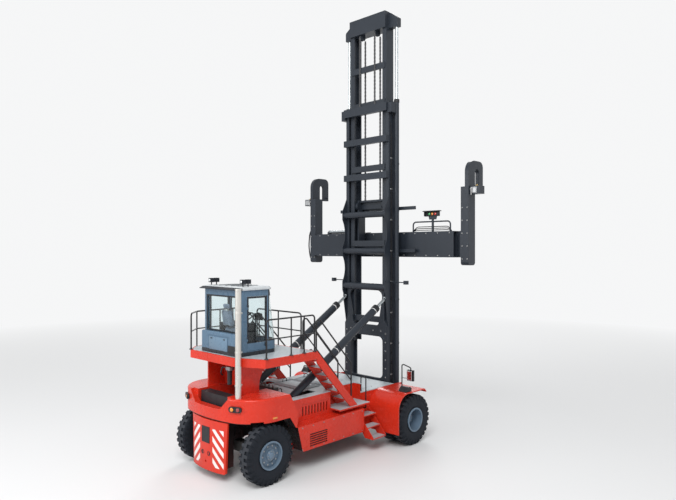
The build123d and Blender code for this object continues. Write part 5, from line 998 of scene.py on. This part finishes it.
for side, sign in SIDES.items():
    gland = turned([(-0.10, 0.073), (-0.10, 0.082), (-0.02, 0.082), (0.0, 0.078), (0.006, 0.060),
                    (0.008, 0.048)], (LIFT_X, sign * LIFT_Y, 9.905), UP, 28)
    moulding(gland, f"lift_gland_{side}", "outer_mast")
    foot = turned([(0.0, 0.073), (0.0, 0.090), (0.05, 0.090), (0.06, 0.074)], (LIFT_X, sign * LIFT_Y, 1.01),
                  UP, 28)
    settle(foot, f"lift_foot_{side}", mast_paint, "outer_mast")
    bands = [turned([(0.0, 0.071), (0.0, 0.079), (0.05, 0.079), (0.05, 0.071)], (LIFT_X, sign * LIFT_Y, z),
                    UP, 28) for z in (2.60, 3.90, 6.55, 7.95)]
    settle(join(bands), f"lift_bands_{side}", mast_paint, "outer_mast")
    for number, x in enumerate((2.285, 2.325)):
        run = bent([(x, sign * PIPE_Y, 9.20 - 0.3 * number), (x, sign * PIPE_Y, 1.45),
                    (x - 0.10, sign * PIPE_Y, 1.25)], 0.05)
        pipe(f"mast_pipe_{side}_{number + 1}", run, 0.011, rail_black, "outer_mast")
    clip = slab((-0.045, -0.006, -0.020), (0.045, 0.012, 0.020), 0.005)
    clips = [(2.305, sign * PIPE_Y, 1.7 + 0.92 * i) for i in range(8)]
    settle(spread(clip, clips), f"pipe_clips_{side}", stud_steel, "outer_mast")
    round_lens(f"mast_lamp_{side}", (2.3125, sign * 1.45, 4.45), FORWARD, 0.042, clear_lens, "outer_mast")
    rows = [(BACK_FACE, sign * 0.78, 1.35 + 0.26 * i) for i in range(7)]
    rows += [(BACK_FACE, y, 2.97) for y in (0.30 * sign, 0.60 * sign)]
    studs(f"mast_bolts_{side}", rows, REARWARD, "outer_mast", 0.016)

# Lift chains: oiled leaf chain of stacked plates on pins, from the outer mast over sheaves to the carriage.
# One pair of plate packs is drawn and repeated up each run; turned anchors hold the lower ends.
CHAIN_STEEL = (0.075, 0.075, 0.078, 1.0)
CHAIN_OIL = (0.03, 0.028, 0.026, 1.0)
LINK_PITCH = 0.058
CHAIN_TOP = 12.02
CHAINS_Y = (-0.30, 0.30)
CHAINS = {  # name: replaced node, x, low end, body at its low end
    "chain_rear": ("lift_chains_rear", 2.2162, 9.70, "outer_mast"),
    "chain_front": ("lift_chains_front", 2.4762, 6.95, "carriage"),
}
chain_steel = weathered_paint("chain_steel", CHAIN_STEEL, CHAIN_OIL, 0.5, 0.34, metallic=0.8)


def chain_run(x, y, low):
    """One line of chain from its anchor up to the sheave."""
    parts = [slab((x - 0.012, y - 0.030, low), (x + 0.012, y + 0.030, low + LINK_PITCH + 0.004), 0.006),
             slab((x - 0.012, y - 0.025, low + LINK_PITCH),
                  (x + 0.012, y + 0.025, low + 2 * LINK_PITCH + 0.004), 0.006)]
    parts += [turned([(-0.036, 0.006), (0.036, 0.006)], (x, y, low + step), (0.0, 1.0, 0.0), 8)
              for step in (0.010, LINK_PITCH - 0.014)]
    pair = join(parts)
    row = pair.modifiers.new("row", "ARRAY")
    row.use_relative_offset = False
    row.use_constant_offset = True
    row.constant_offset_displace = (0.0, 0.0, 2 * LINK_PITCH)
    row.count = int((CHAIN_TOP - low) / (2 * LINK_PITCH))
    bpy.ops.object.modifier_apply(modifier="row")
    return pair


for name, (node, x, low, body) in CHAINS.items():
    chain = settle(join([chain_run(x, y, low) for y in CHAINS_Y]), name, chain_steel, None, 30)
    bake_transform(chain)
    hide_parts(node)
for number, (node, x, low, body) in enumerate(CHAINS.values()):
    anchors = [turned([(-0.03, 0.034), (0.010, 0.034), (0.016, 0.028), (0.018, 0.020), (0.05, 0.018)],
                      (x, y, low), UP, 12) for y in CHAINS_Y]
    settle(join(anchors), f"chain_anchors_{number + 1}", chain_steel, body)

# Spreader: a welded box beam with two telescopic arms, hooks over the container's top edge and corner locks.
# The lock housings have bright wear plates, and the beam carries the slide cylinder and three signal lamps.
PLATE_SILVER = (0.42, 0.43, 0.44, 1.0)
BRASS = (0.34, 0.25, 0.11, 1.0)
GREEN_LENS = (0.02, 0.36, 0.09, 1.0)
SIGNAL_RED = (0.62, 0.02, 0.02, 1.0)
LOCK_Y = 3.335
LEVER_IN = 0.10
plate_silver = weathered_paint("plate_silver", PLATE_SILVER, MAST_GRIME, 0.40, 0.36, metallic=0.9)
brass = weathered_paint("brass", BRASS, MAST_GRIME, 0.45, 0.38, metallic=0.8)
green_lens = lens("green_lens", GREEN_LENS)
bright_red = lens("bright_red_lens", SIGNAL_RED)
for step, finish, name in ((-0.105, bright_red, "red"), (0.0, amber_lens, "amber"),
                           (0.105, green_lens, "green")):
    round_lens(f"signal_{name}", (2.7925, -2.0 + step, 6.455), REARWARD, 0.040, finish, "spreader")
hood = [slab((2.700, -2.29, 6.520), (2.835, -1.71, 6.545), 0.008),
        slab((2.735, -2.26, 6.385), (2.800, -2.235, 6.525), 0.006),
        slab((2.735, -1.765, 6.385), (2.800, -1.74, 6.525), 0.006),
        slab((2.790, -2.26, 6.380), (2.800, -1.74, 6.525), 0.003)]
moulding(join(hood), "signal_hood", "spreader")
for number, z in enumerate((5.985, 6.035, 6.085)):
    run = [(2.86, -2.62, 5.95), (2.86, -2.50, z), (2.86, -1.42, z), (2.86, -1.25, 5.95)]
    pipe(f"beam_pipe_{number + 1}", bent(run, 0.06), 0.013, rail_black, "spreader")
sleeve = turned([(0.0, 0.047), (0.0, 0.060), (0.06, 0.060), (0.065, 0.0495), (0.93, 0.0495), (0.935, 0.060),
                 (0.99, 0.060), (0.99, 0.047)], (2.9575, 1.305, 6.015), (0.0, 1.0, 0.0), 24)
settle(sleeve, "slide_cylinder", rod_chrome, "spreader")
line = bent([(2.86, 1.32, 5.955), (2.86, 1.10, 5.955), (2.86, 0.55, 5.955), (2.80, 0.35, 5.955)], 0.06)
pipe("slide_pipe_1", line, 0.010, rail_black, "spreader")
line = bent([(2.90, 2.26, 5.955), (2.83, 2.10, 5.955), (2.83, 0.60, 5.955), (2.78, 0.40, 5.955)], 0.06)
pipe("slide_pipe_2", line, 0.010, rail_black, "spreader")
guard = bent([(2.93, 3.172, 6.15), (2.93, 3.29, 5.98), (2.93, 3.335, 5.55), (2.93, 3.27, 5.16),
              (2.93, 3.172, 5.02)], 0.11)
pipe("hose_guard", guard, 0.022, rail_black, "arm_left")
rows = [(2.7575, -2.6 + 0.4 * i, z) for i in range(14) for z in (5.24, 5.89)]
studs("beam_bolts", rows, REARWARD, "spreader", 0.014)
for side, sign in SIDES.items():
    middle = sign * LOCK_Y
    pivot = middle - sign * LEVER_IN
    wear = slab((2.897, middle - 0.055, 6.985), (2.909, middle + 0.135, 7.155), 0.004)
    pick(wear, lambda place, normal: normal.x < -0.9)
    bpy.ops.mesh.inset(thickness=0.018, depth=-0.003)
    settle(wear, f"lock_plate_{side}", plate_silver, f"arm_{side}")
    lever = [turned([(-0.01, 0.034), (0.030, 0.034), (0.034, 0.022), (0.060, 0.020), (0.062, 0.012)],
                    (2.905, pivot, 7.10), REARWARD, 16),
             slab((2.868, pivot - 0.016, 6.93), (2.884, pivot + 0.016, 7.12), 0.005)]
    settle(join(lever), f"lock_lever_{side}", stud_steel, f"arm_{side}")
    boss = turned([(0.0, 0.060), (0.020, 0.060), (0.026, 0.048), (0.028, 0.030), (0.050, 0.026)],
                  (3.02, middle, 7.178), UP, 20)
    settle(boss, f"lock_boss_{side}", brass, f"arm_{side}")
    rows = [(2.8475, sign * y, 5.15 + 0.36 * i) for i in range(5) for y in (2.965, 3.125)]
    studs(f"arm_bolts_{side}", rows, REARWARD, f"arm_{side}", 0.014)

# Tilt cylinders: dark painted barrels between hull and mast, with chrome rods, gland collars and white rings.
# A steel pipe lies along the top of each barrel, from its gland back towards its foot.
TILT_FOOT = Vector((-1.7625, 0.79, 1.60))
TILT_HEAD = Vector((2.1275, 0.79, 3.97))
TILT_RUN = (TILT_HEAD - TILT_FOOT).length
RING_WHITE = (0.74, 0.74, 0.73, 1.0)
ring_white = weathered_paint("ring_white", RING_WHITE, MAST_GRIME, 0.2, 0.4)
for side, sign in SIDES.items():
    flip = Vector((1.0, sign, 1.0))
    foot, axis = TILT_FOOT * flip, ((TILT_HEAD - TILT_FOOT) * flip).normalized()
    gland = turned([(-0.13, 0.099), (-0.13, 0.112), (-0.02, 0.112), (0.0, 0.106), (0.008, 0.070),
                    (0.010, 0.047)], foot + axis * (TILT_RUN - 0.48), axis, 28)
    moulding(gland, f"tilt_gland_{side}", f"tilt_barrel_{side}")
    rings = [turned([(0.0, 0.098), (0.0, 0.104), (0.022, 0.104), (0.022, 0.098)], foot + axis * step, axis,
                    28) for step in (1.05, 2.05, TILT_RUN - 0.66)]
    settle(join(rings), f"tilt_rings_{side}", ring_white, f"tilt_barrel_{side}")
    above = axis.cross(Vector((0.0, 1.0, 0.0))) * -1.0
    steps = ((TILT_RUN - 0.55, 0.100), (TILT_RUN - 0.60, 0.122), (1.0, 0.122), (0.85, 0.104))
    run = bent([foot + axis * along + above * rise for along, rise in steps], 0.03)
    pipe(f"tilt_pipe_{side}", run, 0.012, rail_black, f"tilt_barrel_{side}")
